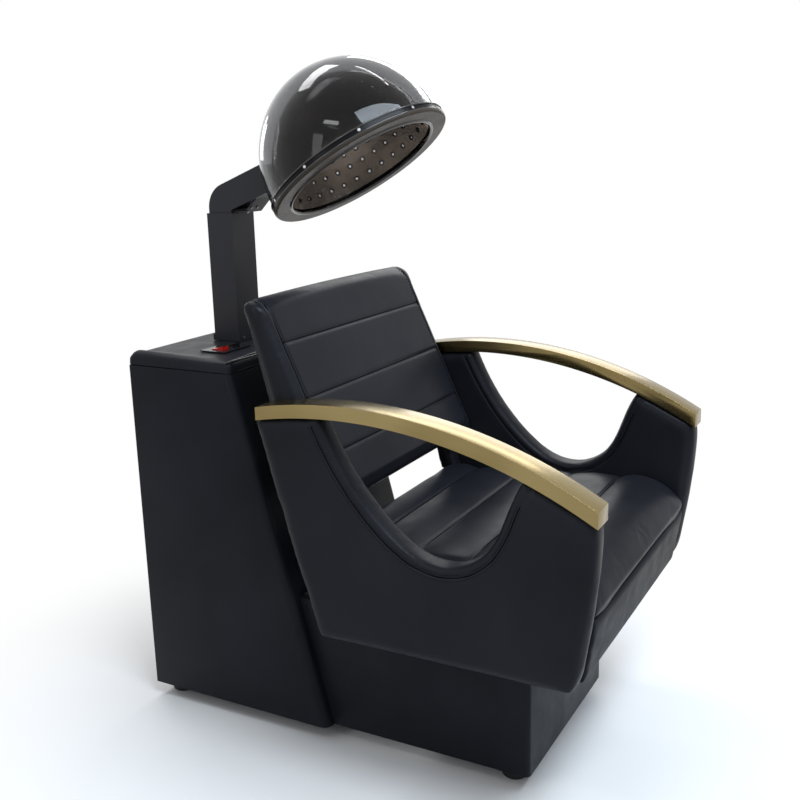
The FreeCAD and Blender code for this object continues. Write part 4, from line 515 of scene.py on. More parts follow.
def makeLamp(name, facts):
    data = bpy.data.lights.new(name, "AREA")
    data.shape = "RECTANGLE"
    data.size, data.size_y = facts["size"]
    data.energy = facts["watts"]
    data.color = facts.get("tint", (1, 1, 1))
    lamp = bpy.data.objects.new(name, data)
    bpy.context.scene.collection.objects.link(lamp)
    lamp.location = facts["place"]
    lamp.rotation_mode = "QUATERNION"
    lamp.rotation_quaternion = (Vector(facts["aim"]) - Vector(facts["place"])).to_track_quat("-Z", "Y")
    lamp.visible_camera = False


def joinValues(nodes, links, operation, first, second):
    node = nodes.new("ShaderNodeMath")
    node.operation = operation
    setInputs(links, node, {0: first, 1: second})
    return node.outputs[0]


def seenDirectly(nodes, links):
    # 1 for rays from the camera, off gloss or through glass
    path = nodes.new("ShaderNodeLightPath")
    total = path.outputs["Is Camera Ray"]
    for word in ("Is Glossy Ray", "Is Transmission Ray"):
        total = joinValues(nodes, links, "MAXIMUM", total, path.outputs[word])
    return total


def mixShaders(nodes, links, factor, first, second, output):
    choose = nodes.new("ShaderNodeMixShader")
    setInputs(links, choose, {"Fac": factor, 1: first.outputs[0], 2: second.outputs[0]})
    links.new(choose.outputs[0], output.inputs["Surface"])


def makeWorld():
    world = bpy.data.worlds.new("studioWorld")
    world.use_nodes = True
    nodes, links = world.node_tree.nodes, world.node_tree.links
    nodes.clear()
    output = nodes.new("ShaderNodeOutputWorld")
    soft = nodes.new("ShaderNodeBackground")
    setInputs(links, soft, {"Color": (*studio["fillTint"], 1), "Strength": studio["fill"]})
    white = nodes.new("ShaderNodeBackground")
    setInputs(links, white, {"Color": (1, 1, 1, 1), "Strength": 1})
    mixShaders(nodes, links, seenDirectly(nodes, links), soft, white, output)
    bpy.context.scene.world = world


def makeFloor():
    # matte near the chair, plain white further away to the rays that see it directly
    deselectAll()
    bpy.ops.mesh.primitive_plane_add(size=studio["floorSize"], location=(0, 0, 0))
    floor = bpy.context.object
    rename(floor, "floor")
    material = bpy.data.materials.new("paleFloor")
    material.use_nodes = True
    nodes, links = material.node_tree.nodes, material.node_tree.links
    nodes.clear()
    output = nodes.new("ShaderNodeOutputMaterial")
    matte = nodes.new("ShaderNodeBsdfDiffuse")
    setInputs(links, matte, {"Color": (*[studio["floorTone"]] * 3, 1)})
    glow = nodes.new("ShaderNodeEmission")
    setInputs(links, glow, {"Strength": 1})
    place = nodes.new("ShaderNodeTexCoord")
    away = nodes.new("ShaderNodeVectorMath")
    away.operation = "LENGTH"
    links.new(place.outputs["Object"], away.inputs[0])
    ramp = nodes.new("ShaderNodeMapRange")
    ramp.interpolation_type = "SMOOTHSTEP"
    setInputs(links, ramp, {
        "Value": away.outputs["Value"], "From Min": studio["clearFrom"], "From Max": studio["clearTo"],
    })
    seen = seenDirectly(nodes, links)
    share = joinValues(nodes, links, "MULTIPLY", ramp.outputs["Result"], seen)
    mixShaders(nodes, links, share, matte, glow, output)
    floor.data.materials.append(material)


makeWorld()
makeFloor()
for lampName, facts in lamps.items():
    makeLamp(lampName, facts)
print("camera, floor and lamps placed")


# padded covers: remeshed, blown up a little as cloth, capped and smoothed
def padCover(pad, facts, soft=None):
    applyModifier(pad, "REMESH", mode="VOXEL", voxel_size=facts["voxel"])
    if soft is not None:
        rollEdges(pad, soft(readPoints(pad)), facts["softRounds"])
    writePoints(pad, readPoints(pad) - readNormals(pad) * facts["shrink"])
    start = readPoints(pad)
    inflate(pad, facts)
    moved = readPoints(pad) - start
    reach = np.linalg.norm(moved, axis=1)
    keep = np.minimum(1, facts["cap"] / np.maximum(reach, 1e-9))
    writePoints(pad, start + moved * keep[:, None])
    applyModifier(pad, "SMOOTH", factor=0.5, iterations=facts["smooth"])
    applyModifier(pad, "SUBSURF", levels=1, render_levels=1)
    return pad


fabric = {"quality": 5, "mass": 0.3, "bending": 0.5}


def inflate(pad, facts):
    activate(pad)
    cloth = pad.modifiers.new("Cloth", "CLOTH")
    cloth.settings.quality = fabric["quality"]
    cloth.settings.mass = fabric["mass"]
    cloth.settings.tension_stiffness = facts["stiff"]
    cloth.settings.compression_stiffness = facts["stiff"]
    cloth.settings.bending_stiffness = fabric["bending"]
    cloth.settings.use_pressure = True
    cloth.settings.uniform_pressure_force = facts["pressure"]
    cloth.settings.effector_weights.gravity = 0
    cloth.collision_settings.use_collision = False
    scene = bpy.context.scene
    for step in range(1, facts["steps"] + 1):
        scene.frame_set(step)
    bpy.ops.object.modifier_apply(modifier=cloth.name)
    scene.frame_set(1)


def pressSeams(piece, distances, depth, width):
    # draws the cover in along seams: distances holds each point's distance from the nearest seam
    pull = depth * np.exp(-(distances / width) ** 2)
    writePoints(piece, readPoints(piece) - readNormals(piece) * pull[:, None])


def distanceToPath(points, path):
    # each point's distance from a line of points, all in one plane's two directions, a metre at most
    best = np.full(len(points), 1.0)
    for start, end in zip(path[:-1], path[1:]):
        start, end = np.array(start), np.array(end)
        along = end - start
        share = np.clip(((points - start) @ along) / (along @ along), 0, 1)
        best = np.minimum(best, np.linalg.norm(points - start - share[:, None] * along, axis=1))
    return best


def lineThrough(points, count):
    # evenly spaced points on a smooth line through a few given ones
    points = np.array(points, float)
    steps = np.concatenate([[0], np.cumsum(np.linalg.norm(np.diff(points, axis=0), axis=1))])
    slopes = np.gradient(points, steps, axis=0)
    places = np.linspace(0, steps[-1], count)
    line = []
    for place in places:
        index = min(np.searchsorted(steps, place, side="right") - 1, len(points) - 2)
        gap = steps[index + 1] - steps[index]
        t = (place - steps[index]) / gap
        spot = (2 * t ** 3 - 3 * t ** 2 + 1) * points[index]
        spot = spot + (t ** 3 - 2 * t ** 2 + t) * gap * slopes[index]
        spot = spot + (3 * t ** 2 - 2 * t ** 3) * points[index + 1]
        line.append(spot + (t ** 3 - t ** 2) * gap * slopes[index + 1])
    return line


laying = {"reach": 0.08, "spread": 3}


def layAlong(piece, path, way, lift):
    # drops a line onto a cover along one direction, and evens its depth out
    way = Vector(way).normalized()
    depths = []
    for point in path:
        start = Vector(point) - way * laying["reach"]
        found, place = piece.ray_cast(start, way, distance=laying["reach"] * 2)[:2]
        missed = depths[-1] if depths else laying["reach"]
        depths.append((place - start).dot(way) if found else missed)
    padded = np.pad(depths, laying["spread"], mode="edge")
    width = laying["spread"] * 2 + 1
    even = np.convolve(padded, np.ones(width) / width, "valid")
    return [Vector(point) + way * (depth - laying["reach"] - lift) for point, depth in zip(path, even)]


def rollEdges(piece, picked, rounds):
    # rounds a soft edge: smooths only the picked points
    group = piece.vertex_groups.new(name="soft")
    group.add([int(index) for index in np.nonzero(picked)[0]], 1, "REPLACE")
    applyModifier(piece, "SMOOTH", factor=0.5, iterations=rounds, vertex_group="soft")
    piece.vertex_groups.remove(piece.vertex_groups["soft"])


def layOn(piece, path, lift):
    # sets points of a line on a cover, a little above it
    laid = []
    for point in path:
        place, normal = piece.closest_point_on_mesh(Vector(point))[1:3]
        laid.append(place + normal * lift)
    return laid


def curveThrough(name, path):
    data = bpy.data.curves.new(name, "CURVE")
    data.dimensions = "3D"
    data.resolution_u = 3
    spline = data.splines.new("BEZIER")
    spline.bezier_points.add(len(path) - 1)
    for point, place in zip(spline.bezier_points, path):
        point.co = place
        point.handle_left_type = point.handle_right_type = "AUTO"
    curve = bpy.data.objects.new(name, data)
    bpy.context.collection.objects.link(curve)
    return curve


thread = {
    "length": 0.0046, "pitch": 0.0066, "radius": 0.00062, "lift": 0.0001, "sides": 6, "rounding": 0.6,
    "endShare": 0.49,
}


def stitchRow(name, path):
    # one stitch, rounded at both ends, repeated along the line
    deselectAll()
    bpy.ops.mesh.primitive_cylinder_add(vertices=thread["sides"], radius=thread["radius"],
                                        depth=thread["length"], rotation=(0, math.radians(90), 0))
    row = bpy.context.object
    rename(row, name)
    settle(row)
    end = thread["length"] * thread["endShare"]
    bevelEdges(row, lambda a, b: a.x * b.x > 0 and min(abs(a.x), abs(b.x)) > end,
               thread["radius"] * thread["rounding"], segments=1)
    points = readPoints(row)
    points[:, 0] += thread["length"] / 2
    writePoints(row, points)
    curve = curveThrough(name + "_line", path)
    activate(row)
    repeat = row.modifiers.new("Array", "ARRAY")
    repeat.fit_type = "FIT_CURVE"
    repeat.curve = curve
    repeat.use_relative_offset = False
    repeat.use_constant_offset = True
    repeat.constant_offset_displace = (thread["pitch"], 0, 0)
    follow = row.modifiers.new("Curve", "CURVE")
    follow.object = curve
    follow.deform_axis = "POS_X"
    bpy.ops.object.modifier_apply(modifier=repeat.name)
    bpy.ops.object.modifier_apply(modifier=follow.name)
    bpy.data.objects.remove(curve)
    return row


def piping(name, path, radius):
    # a round cord sewn along a line, as a mesh
    curve = curveThrough(name, path)
    curve.data.bevel_depth = radius
    curve.data.bevel_resolution = 2
    curve.data.use_fill_caps = True
    activate(curve)
    bpy.ops.object.convert(target="MESH")
    piece = bpy.context.object
    rename(piece, name)
    faceOut(piece)
    smoothFaces(piece, angle=50)
    return piece


def seamShadeCords(piece, name, guides, radius):
    # a near-black cord laid along the bottom of each seam groove, painted shade for the groove: a guide is a
    # line and the way it is laid down
    folds = [piping(f"{name}_{number}", layAlong(piece, line, way, 0), radius)
             for number, (line, way) in enumerate(guides)]
    finishPiece(joinPieces(folds, name), seamShadeFinish)


# seat cushion: cross seams, rolled nose
seatPad = {
    "voxel": 0.006, "shrink": -0.0005, "cap": 0.004, "smooth": 2, "stiff": 15, "pressure": 4, "steps": 14,
    "seams": (-0.033, -0.143, -0.245, -0.349), "seamDepth": 0.0030, "seamWidth": 0.0034, "halfWidth": 0.274,
    "shadeCordRadius": 0.0010, "noseSeam": 0.3925, "noseAt": -0.468, "guideHeight": 0.436, "facingUp": 0.2,
}
seat = padCover(copyNode("seat_cushion", "seat_cushion_cover"), seatPad)
points, normals = readPoints(seat), readNormals(seat)
along = np.min(np.abs(points[:, 1:2] - np.array(seatPad["seams"])), axis=1)
along[normals[:, 2] < seatPad["facingUp"]] = 1
pressSeams(seat, along, seatPad["seamDepth"], seatPad["seamWidth"])
smoothFaces(seat)
finishPiece(seat, seatLeather, ["seat_cushion"])
across = np.linspace(-seatPad["halfWidth"], seatPad["halfWidth"], tools["lineSteps"])
guides = [([(x, y, seatPad["guideHeight"]) for x in across], (0, 0, -1)) for y in seatPad["seams"]]
guides.append(([(x, seatPad["noseAt"], seatPad["noseSeam"]) for x in across], (0, 1, 0)))
seamShadeCords(seat, "seat_seams", guides, seatPad["shadeCordRadius"])
print("seat cushion made")

# backrest: flat panels between crisp seams, side bands, rolled top
backPad = {
    "voxel": 0.006, "shrink": 0.0018, "cap": 0.003, "smooth": 3, "stiff": 18, "pressure": 3, "steps": 12,
    "softRounds": 6, "softFrom": 0.250, "softAbove": 0.02,
    "halfWidth": 0.280, "low": 0.499, "high": 0.8645, "middle": 0.691,
    "front": 0.064, "frontLean": 0.46, "rear": 0.138, "rearLean": 0.26,
    "crown": 0.0045, "crownFrom": 0.79, "cornerDrop": 0.0050, "cornerPower": 14,
    "topFrontRound": 0.018, "topRearRound": 0.020, "lowRound": 0.038, "sideRound": 0.019,
    "footInner": 0.243, "footLow": 0.419, "footFront": 0.016, "footRear": 0.056,
    "footOverlap": 0.03, "footFrontLean": 0.026, "footRearLean": 0.024,
    "seams": (0.594, 0.691, 0.786), "seamDepth": 0.0026, "seamWidth": 0.0034, "shadeCordRadius": 0.0009,
    "seamFacing": -0.3, "seamInset": 0.002,
    "bandAt": 0.253, "bandDepth": 0.0020, "bandWidth": 0.0034, "bandFacing": 0.75, "bandAbove": 0.01,
    "bandWay": (0, 1, -0.5), "bandStop": 4, "rowGap": 0.0060,
    "rowHeights": (0.54, 0.58, 0.64, 0.70, 0.76, 0.82, 0.845), "rowTop": 0.864, "rowInset": 0.008,
}


def backFront(z):
    return backPad["front"] + backPad["frontLean"] * (z - backPad["middle"])


def backRear(z):
    return backPad["rear"] + backPad["rearLean"] * (z - backPad["middle"])


def makeBackrest():
    low, high, half, near = backPad["low"], backPad["high"], backPad["halfWidth"], tools["near"]
    body = outlineSolid("backrest_body", [
        (backRear(low), low), (backFront(low), low), (backFront(high), high), (backRear(high), high),
    ], -half, half * 2)
    topFront = backFront(high) + near

    def onTop(a, b):
        return abs(a.x - b.x) > half and a.z > high - near

    bevelEdges(body, lambda a, b: onTop(a, b) and a.y > topFront, backPad["topRearRound"], segments=6)
    bevelEdges(body, lambda a, b: onTop(a, b) and a.y < topFront, backPad["topFrontRound"], segments=4)
    bevelEdges(body, lambda a, b: abs(a.x - b.x) > half and a.z < low + near, backPad["lowRound"], segments=4)
    bevelEdges(body, lambda a, b: abs(a.x) > half - near and abs(a.x - b.x) < near,
               backPad["sideRound"], segments=4)
    feet = []
    top = low + backPad["footOverlap"]
    for side, start in ((-1, -half), (1, backPad["footInner"])):
        feet.append(outlineSolid(f"backrest_foot_{side}", [
            (backPad["footRear"], backPad["footLow"]), (backPad["footFront"], backPad["footLow"]),
            (backPad["footFront"] + backPad["footFrontLean"], top),
            (backPad["footRear"] + backPad["footRearLean"], top),
        ], start, half - backPad["footInner"]))
    return joinPieces([body] + feet, "backrest_cover")


def softSides(points):
    # the side bands of the backrest, above its feet
    above = points[:, 2] > backPad["low"] + backPad["softAbove"]
    return (np.abs(points[:, 0]) > backPad["softFrom"]) & above


def crownTop(piece):
    # lifts the middle of the top edge and lets its two corners drop
    points = readPoints(piece)
    rise = (points[:, 2] - backPad["crownFrom"]) / (backPad["high"] - backPad["crownFrom"])
    rise = np.clip(rise, 0, 1) ** 2
    reach = np.abs(points[:, 0]) / backPad["halfWidth"]
    drop = backPad["cornerDrop"] * reach ** backPad["cornerPower"]
    points[:, 2] += rise * (backPad["crown"] * (1 - reach ** 2) - drop)
    writePoints(piece, points)


back = padCover(makeBackrest(), backPad, softSides)
crownTop(back)
points, normals = readPoints(back), readNormals(back)
along = np.min(np.abs(points[:, 2:3] - np.array(backPad["seams"])), axis=1)
along[(normals[:, 1] > backPad["seamFacing"]) | (np.abs(points[:, 0]) > backPad["bandAt"])] = 1
pressSeams(back, along, backPad["seamDepth"], backPad["seamWidth"])
points, normals = readPoints(back), readNormals(back)
along = np.abs(np.abs(points[:, 0]) - backPad["bandAt"])
along[(normals[:, 1] > backPad["bandFacing"]) | (points[:, 2] < backPad["low"] + backPad["bandAbove"])] = 1
pressSeams(back, along, backPad["bandDepth"], backPad["bandWidth"])
smoothFaces(back)
finishPiece(back, blackLeather, ["backrest_cushion", "backrest_frame"])


def upBackrest(x):
    # a line up the backrest's front and over its top
    line = [(x, backFront(z), z) for z in backPad["rowHeights"]]
    top, inset = backPad["rowTop"], backPad["rowInset"]
    line += [(x, backFront(top) + inset, top), (x, backRear(top) - inset, top)]
    return lineThrough(line, tools["lineSteps"])


rows, guides = [], []
for side in (-1, 1):
    guides.append((upBackrest(side * backPad["bandAt"])[:-backPad["bandStop"]], backPad["bandWay"]))
    line = layOn(back, upBackrest(side * (backPad["bandAt"] - backPad["rowGap"])), thread["lift"])
    rows.append(stitchRow(f"backrest_row_{side}", line))
finishPiece(joinPieces(rows, "backrest_stitching"), threadFinish)
reach = backPad["bandAt"] - backPad["seamInset"]
across = np.linspace(-reach, reach, tools["lineSteps"])
guides += [([(x, backFront(z), z) for x in across], (0, 1, 0)) for z in backPad["seams"]]
seamShadeCords(back, "backrest_seams", guides, backPad["shadeCordRadius"])
print("backrest made")

# side panels: padded boards, two rows of stitching round the scoop on both faces
panelPad = {
    "voxel": 0.006, "shrink": 0.0002, "cap": 0.002, "smooth": 3, "stiff": 25, "pressure": 2, "steps": 10,
    "outer": 0.329, "inner": 0.281, "seamDepth": 0.0024, "seamWidth": 0.0034, "rowOffsets": (0.012, 0.0205),
    "shadeCordRadius": 0.0009, "softRounds": 9, "faceOn": 0.7, "lineSteps": 60,
    "front": [(-0.4840, 0.556), (-0.4850, 0.520), (-0.4790, 0.455), (-0.4700, 0.389), (-0.4610, 0.338),
              (-0.4540, 0.299)], "frontSoft": 0.016,
    "rear": [(0.1220, 0.679), (0.1055, 0.600), (0.0750, 0.492), (0.0445, 0.390), (0.0080, 0.282)],
    "rearReach": 0.030, "rearGrow": 0.0045,
    "scoop": [(-0.3660, 0.6202), (-0.3450, 0.5792), (-0.3277, 0.5354), (-0.3046, 0.4955), (-0.2678, 0.4665),
              (-0.2223, 0.4568), (-0.1771, 0.4680), (-0.1382, 0.4932), (-0.1042, 0.5252), (-0.0739, 0.5602),
              (-0.0471, 0.5981), (-0.0236, 0.6383), (-0.0060, 0.6730)],
}


def besideScoop(offset):
    # the scoop's line moved out into the panel
    line = np.array(panelPad["scoop"])
    slope = np.gradient(line, axis=0)
    away = np.stack([slope[:, 1], -slope[:, 0]], axis=1)
    return line + away / np.linalg.norm(away, axis=1)[:, None] * offset


def nearFront(points):
    # the strip along a panel's front edge
    return distanceToPath(points[:, 1:3], panelPad["front"]) < panelPad["frontSoft"]


def growRear(piece):
    # moves a panel's rear edge back a little
    points = readPoints(piece)
    near = 1 - distanceToPath(points[:, 1:3], panelPad["rear"]) / panelPad["rearReach"]
    points[:, 1] += panelPad["rearGrow"] * np.clip(near, 0, 1)
    writePoints(piece, points)


def onFace(face, sign, offset):
    # a line beside the scoop on one face of a panel, and the way it is laid down
    guide = [(sign * panelPad[face], y, z) for y, z in besideScoop(offset)]
    inward = -sign if face == "outer" else sign
    return lineThrough(guide, panelPad["lineSteps"]), (inward, 0, 0)


for side, sign in (("right", -1), ("left", 1)):
    panel = padCover(copyNode(f"side_panel_{side}", f"side_panel_{side}_cover"), panelPad, nearFront)
    growRear(panel)
    points, normals = readPoints(panel), readNormals(panel)
    middle = sum(panelPad["rowOffsets"]) / 2
    along = distanceToPath(points[:, 1:3], besideScoop(middle))
    along[np.abs(normals[:, 0]) < panelPad["faceOn"]] = 1
    pressSeams(panel, along, panelPad["seamDepth"], panelPad["seamWidth"])
    smoothFaces(panel)
    finishPiece(panel, blackLeather, [f"side_panel_{side}"])
    rows = []
    for face in ("outer", "inner"):
        for number, offset in enumerate(panelPad["rowOffsets"]):
            line = layAlong(panel, *onFace(face, sign, offset), thread["lift"])
            rows.append(stitchRow(f"panel_row_{side}_{face}_{number}", line))
    finishPiece(joinPieces(rows, f"side_panel_{side}_stitching"), threadFinish)
    guides = [onFace(face, sign, middle) for face in ("outer", "inner")]
    seamShadeCords(panel, f"side_panel_{side}_seams", guides, panelPad["shadeCordRadius"])
print("side panels made")

# arm bars: the solid's long edges broken by a small bevel
flatWithin = 0.2
barEdge = {"width": 0.0019, "segments": 3, "sharpFrom": 50, "smoothTo": 35}
for side in ("right", "left"):
    bar = copyNode(f"arm_bar_{side}", f"arm_bar_{side}_finished")
    applyModifier(bar, "DECIMATE", decimate_type="DISSOLVE", angle_limit=math.radians(flatWithin))
    softenEdges(bar, **barEdge)
    finishPiece(bar, satinGold, [f"arm_bar_{side}"])
print("arm bars made")

# cabinet: its boards, covered with leather
cabinet = {
    "halfWidth": 0.2235, "low": 0.030, "high": 0.711, "frontLow": 0.071, "frontHigh": 0.2512, "rear": 0.498,
    "wall": 0.018, "frontRound": 0.016, "rearRound": 0.004, "rimRound": 0.0008, "lidHigh": 0.732,
    "lidRound": 0.011, "midway": 0.35,
}
boardEdge = {"segments": 2, "sharpFrom": 60, "smoothTo": 40}


def openShell(shell, wall):
    # takes away top, bottom and rear, and gives the rest its thickness
    limit = tools["facing"]
    deleteFaces(shell, lambda normal: abs(normal.z) > limit or normal.y > limit)
    applyModifier(shell, "SOLIDIFY", thickness=wall, offset=-1, use_even_offset=True)


def makeCabinetCover():
    # one leather cover round the front and both sides, soft at its corners
    half, low, high, rear = (cabinet[word] for word in ("halfWidth", "low", "high", "rear"))
    shell = outlineSolid("cabinet_cover", [
        (rear, low), (cabinet["frontLow"], low), (cabinet["frontHigh"], high), (rear, high),
    ], -half, half * 2)
    upright = (high - low) / 2
    bevelEdges(shell, lambda a, b: abs(a.x - b.x) < tools["near"] and abs(a.z - b.z) > upright
               and max(a.y, b.y) < cabinet["midway"], cabinet["frontRound"], segments=7)
    openShell(shell, cabinet["wall"])
    sideAt, rearAt = half - tools["nearer"], rear - tools["nearer"]
    bevelEdges(shell, lambda a, b: min(abs(a.x), abs(b.x)) > sideAt and min(a.y, b.y) > rearAt,
               cabinet["rearRound"], segments=4)
    softenEdges(shell, cabinet["rimRound"], **boardEdge)
    return shell


finishPiece(makeCabinetCover(), boardLeather,
            ["cabinet_right_side", "cabinet_left_side", "cabinet_front"])

# lid: padded all round, pressed flat under the post's collar and the control plate
lidPad = {
    "voxel": 0.005, "smooth": 2, "crown": 0.0012, "fadeFrom": 0.006, "fadeTo": 0.050, "top": 0.732,
    "upperBand": 0.010, "footBand": 0.006, "footPlane": 0.004, "footFrom": 0.006, "footLeast": 0.0001,
    "ridge": 0.0055, "ridgeAt": 0.205, "ridgeWidth": 0.012, "ridgeFrom": 0.30, "ridgeTo": 0.46,
    "flats": (((-0.045, 0.360), (0.045, 0.440)), ((-0.154, 0.314), (-0.066, 0.378))),
    "pipingRadius": 0.0018, "pipingGap": 0.007, "pipingInset": 0.006, "pipingSide": 0.004,
    "pipingLift": 0.002, "pipingRaise": 0.0008, "pipingSteps": 24,
}


def squareFoot(points, half, low, front):
    # brings the lid's lower edge out flush with the cabinet under it
    foot = points[:, 2] < low + lidPad["footBand"]
    rounding = np.where(points[:, 1] < cabinet["midway"], cabinet["frontRound"], cabinet["rearRound"])
    inner = np.stack([np.clip(points[:, 0], rounding - half, half - rounding),
                      np.clip(points[:, 1], front + rounding, cabinet["rear"] - rounding)], axis=1)
    away = points[:, :2] - inner
    reach = np.linalg.norm(away, axis=1)
    edge = foot & (reach > np.maximum(rounding - lidPad["footFrom"], lidPad["footLeast"]))
    points[edge, :2] = inner[edge] + away[edge] / reach[edge, None] * rounding[edge, None]
    points[foot & (points[:, 2] < low + lidPad["footPlane"]), 2] = low


def raiseTop(points):
    # crowns the lid's top between the flats, and lifts a ridge near each side
    away = np.full(len(points), 1.0)
    for (x0, y0), (x1, y1) in lidPad["flats"]:
        dx = np.maximum(0, np.maximum(x0 - points[:, 0], points[:, 0] - x1))
        dy = np.maximum(0, np.maximum(y0 - points[:, 1], points[:, 1] - y1))
        away = np.minimum(away, np.hypot(dx, dy))
    share = np.clip((away - lidPad["fadeFrom"]) / (lidPad["fadeTo"] - lidPad["fadeFrom"]), 0, 1)
    share = share * share * (3 - 2 * share)
    band = lidPad["upperBand"]
    upper = np.clip((points[:, 2] - lidPad["top"] + band) / band, 0, 1)
    grow = np.clip((points[:, 1] - lidPad["ridgeFrom"]) / (lidPad["ridgeTo"] - lidPad["ridgeFrom"]), 0, 1)
    beside = (np.abs(points[:, 0]) - lidPad["ridgeAt"]) / lidPad["ridgeWidth"]
    ridge = lidPad["ridge"] * grow * np.exp(-beside ** 2)
    points[:, 2] += (lidPad["crown"] * share + ridge) * upper


def makeLid():
    half, low, high = cabinet["halfWidth"], cabinet["high"], cabinet["lidHigh"]
    front, rear = cabinet["frontHigh"], cabinet["rear"]
    lid = outlineSolid("cabinet_lid_cover", [(rear, low), (front, low), (front, high), (rear, high)],
                       -half, half * 2)
    upright = (high - low) / 2
    bevelEdges(lid, lambda a, b: abs(a.z - b.z) > upright and a.y < front + tools["near"],
               cabinet["frontRound"], segments=6)
    bevelEdges(lid, lambda a, b: min(a.z, b.z) > high - tools["nearer"], cabinet["lidRound"], segments=5)
    applyModifier(lid, "REMESH", mode="VOXEL", voxel_size=lidPad["voxel"])
    applyModifier(lid, "SMOOTH", factor=0.5, iterations=lidPad["smooth"])
    points = readPoints(lid)
    raiseTop(points)
    squareFoot(points, half, low, front)
    writePoints(lid, points)
    applyModifier(lid, "SUBSURF", levels=1, render_levels=1)
    smoothFaces(lid)
    return lid


lid = makeLid()
finishPiece(lid, blackLeather, ["cabinet_lid"])
edge = cabinet["halfWidth"] - lidPad["pipingSide"]
across = np.linspace(-edge, edge, lidPad["pipingSteps"])
pipes = []
for number in range(2):
    front = cabinet["frontHigh"] + lidPad["pipingInset"] + number * lidPad["pipingGap"]
    guide = [(x, front, lidPad["top"] + lidPad["pipingLift"]) for x in across]
    line = layAlong(lid, guide, (0, 0, -1), lidPad["pipingRaise"])
    pipes.append(piping(f"lid_piping_{number}", line, lidPad["pipingRadius"]))
finishPiece(joinPieces(pipes, "lid_piping"), pipingFinish)
print("cabinet cover and lid made")

# plinth: one cover round its front and sides, and the rail that carries the front feet
plinth = {
    "halfWidth": 0.201, "low": 0.030, "high": 0.282, "front": -0.331, "rearLow": 0.071, "rearHigh": 0.1377,
    "wall": 0.018, "corner": 0.010, "railRear": -0.261, "railThick": 0.020, "railIn": 0.8, "edgeRound": 0.003,
}


def makePlinth():
    half, low, high = plinth["halfWidth"], plinth["low"], plinth["high"]
    front, rear = plinth["front"], plinth["railRear"]
    shell = outlineSolid("plinth_shell", [
        (plinth["rearLow"], low), (front, low), (front, high), (plinth["rearHigh"], high),
    ], -half, half * 2)
    upright = (high - low) / 2
    bevelEdges(shell, lambda a, b: abs(a.x - b.x) < tools["near"] and abs(a.z - b.z) > upright
               and max(a.y, b.y) < rear, plinth["corner"], segments=6)
    openShell(shell, plinth["wall"])
    inside = half - plinth["wall"]
    front += plinth["wall"] * plinth["railIn"]
    top = low + plinth["railThick"]
    rail = outlineSolid("plinth_rail", [(rear, low), (front, low), (front, top), (rear, top)],
                        -inside, inside * 2)
    shell = joinPieces([shell, rail], "plinth_cover")
    softenEdges(shell, plinth["edgeRound"], **boardEdge)
    return shell


finishPiece(makePlinth(), boardLeather,
            ["plinth_front", "plinth_right_side", "plinth_left_side"])

# apron: padded board under the seat's nose
apronPad = {
    "voxel": 0.005, "shrink": -0.0010, "cap": 0.0015, "smooth": 3, "stiff": 20, "pressure": 2, "steps": 8,
}
apron = padCover(copyNode("seat_apron", "seat_apron_cover"), apronPad)
smoothFaces(apron)
finishPiece(apron, apronLeather, ["seat_apron"])
print("plinth and apron made")

# hood: thin beads round the rim band, a rolled lip inside the mouth, a collar round each air hole
hood = {
    "centre": (0, 0.0867, 1.0725), "tilt": 33.15,
    "beads": ((0.1822, 0.0062, 0.0015), (0.1824, 0.0166, 0.0013), (0.1505, 0.0010, 0.0034)),
    "innerRadius": 0.153, "innerRise": 0.166, "base": 0.0189, "wall": 0.0025,
    "holeRows": ((3.6, 32), (13.3, 32), (22.3, 32), (33, 24), (46, 16), (62, 8)), "collar": 0.0040,
    "collarThick": 0.0014, "collarSteps": 14, "collarSides": 6, "beadSteps": 144, "beadSides": 12,
}
hoodPlace = Matrix.Translation(hood["centre"]) @ Matrix.Rotation(math.radians(-hood["tilt"]), 4, "X")


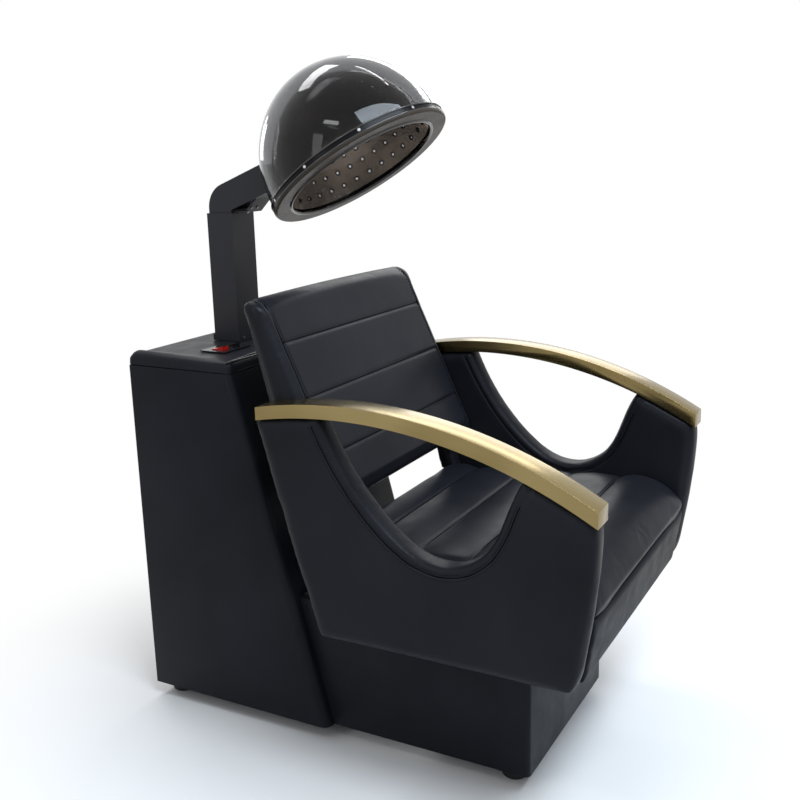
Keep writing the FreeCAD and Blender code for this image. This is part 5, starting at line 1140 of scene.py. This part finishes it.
def spinBead(name, radius, height, thick):
    deselectAll()
    bpy.ops.mesh.primitive_circle_add(vertices=hood["beadSides"], radius=thick, location=(radius, 0, height),
                                      rotation=(math.radians(90), 0, 0))
    bead = bpy.context.object
    rename(bead, name)
    settle(bead)
    setMode("EDIT")
    bpy.ops.mesh.select_all(action="SELECT")
    bpy.ops.mesh.spin(steps=hood["beadSteps"], angle=math.radians(360), center=(0, 0, 0), axis=(0, 0, 1))
    setMode("OBJECT")
    faceOut(bead)
    smoothFaces(bead)
    return bead


beads = [spinBead(f"hood_bead_{number}", *facts) for number, facts in enumerate(hood["beads"])]
rimBeads = joinPieces(beads, "hood_rim_beads")
rimBeads.matrix_world = hoodPlace
settle(rimBeads)
finishPiece(rimBeads, beadGloss, body="hood")


def collarPlace(lift, turned):
    # where one air hole is on the inner shell, an upper half of an ellipsoid, and the way it faces
    raised = math.radians(lift)
    wide, tall = hood["innerRadius"], hood["innerRise"]
    flat, up = wide * math.cos(raised), tall * math.sin(raised)
    spot = Vector((flat * math.sin(turned), flat * math.cos(turned), up))
    out = Vector((spot.x / wide ** 2, spot.y / wide ** 2, up / tall ** 2)).normalized()
    spot.z += hood["base"]
    facing = out.to_track_quat("Z", "Y").to_matrix().to_4x4()
    return hoodPlace @ Matrix.Translation(spot - out * hood["wall"]) @ facing


def makeCollars():
    # one collar, copied to every air hole of the inner shell
    deselectAll()
    bpy.ops.mesh.primitive_torus_add(major_segments=hood["collarSteps"], minor_segments=hood["collarSides"],
                                     major_radius=hood["collar"], minor_radius=hood["collarThick"])
    first = bpy.context.object
    rename(first, "air_collar")
    collars = []
    for lift, count in hood["holeRows"]:
        for index in range(count):
            collar = first.copy()
            collar.data = first.data.copy()
            bpy.context.collection.objects.link(collar)
            collar.matrix_world = collarPlace(lift, math.radians(360 / count * index))
            collars.append(collar)
    bpy.data.objects.remove(first)
    for collar in collars:
        settle(collar)
    return joinPieces(collars, "air_collars")


airCollars = makeCollars()
smoothFaces(airCollars)
finishPiece(airCollars, rimGloss, body="hood")
print("hood beads and collars made")
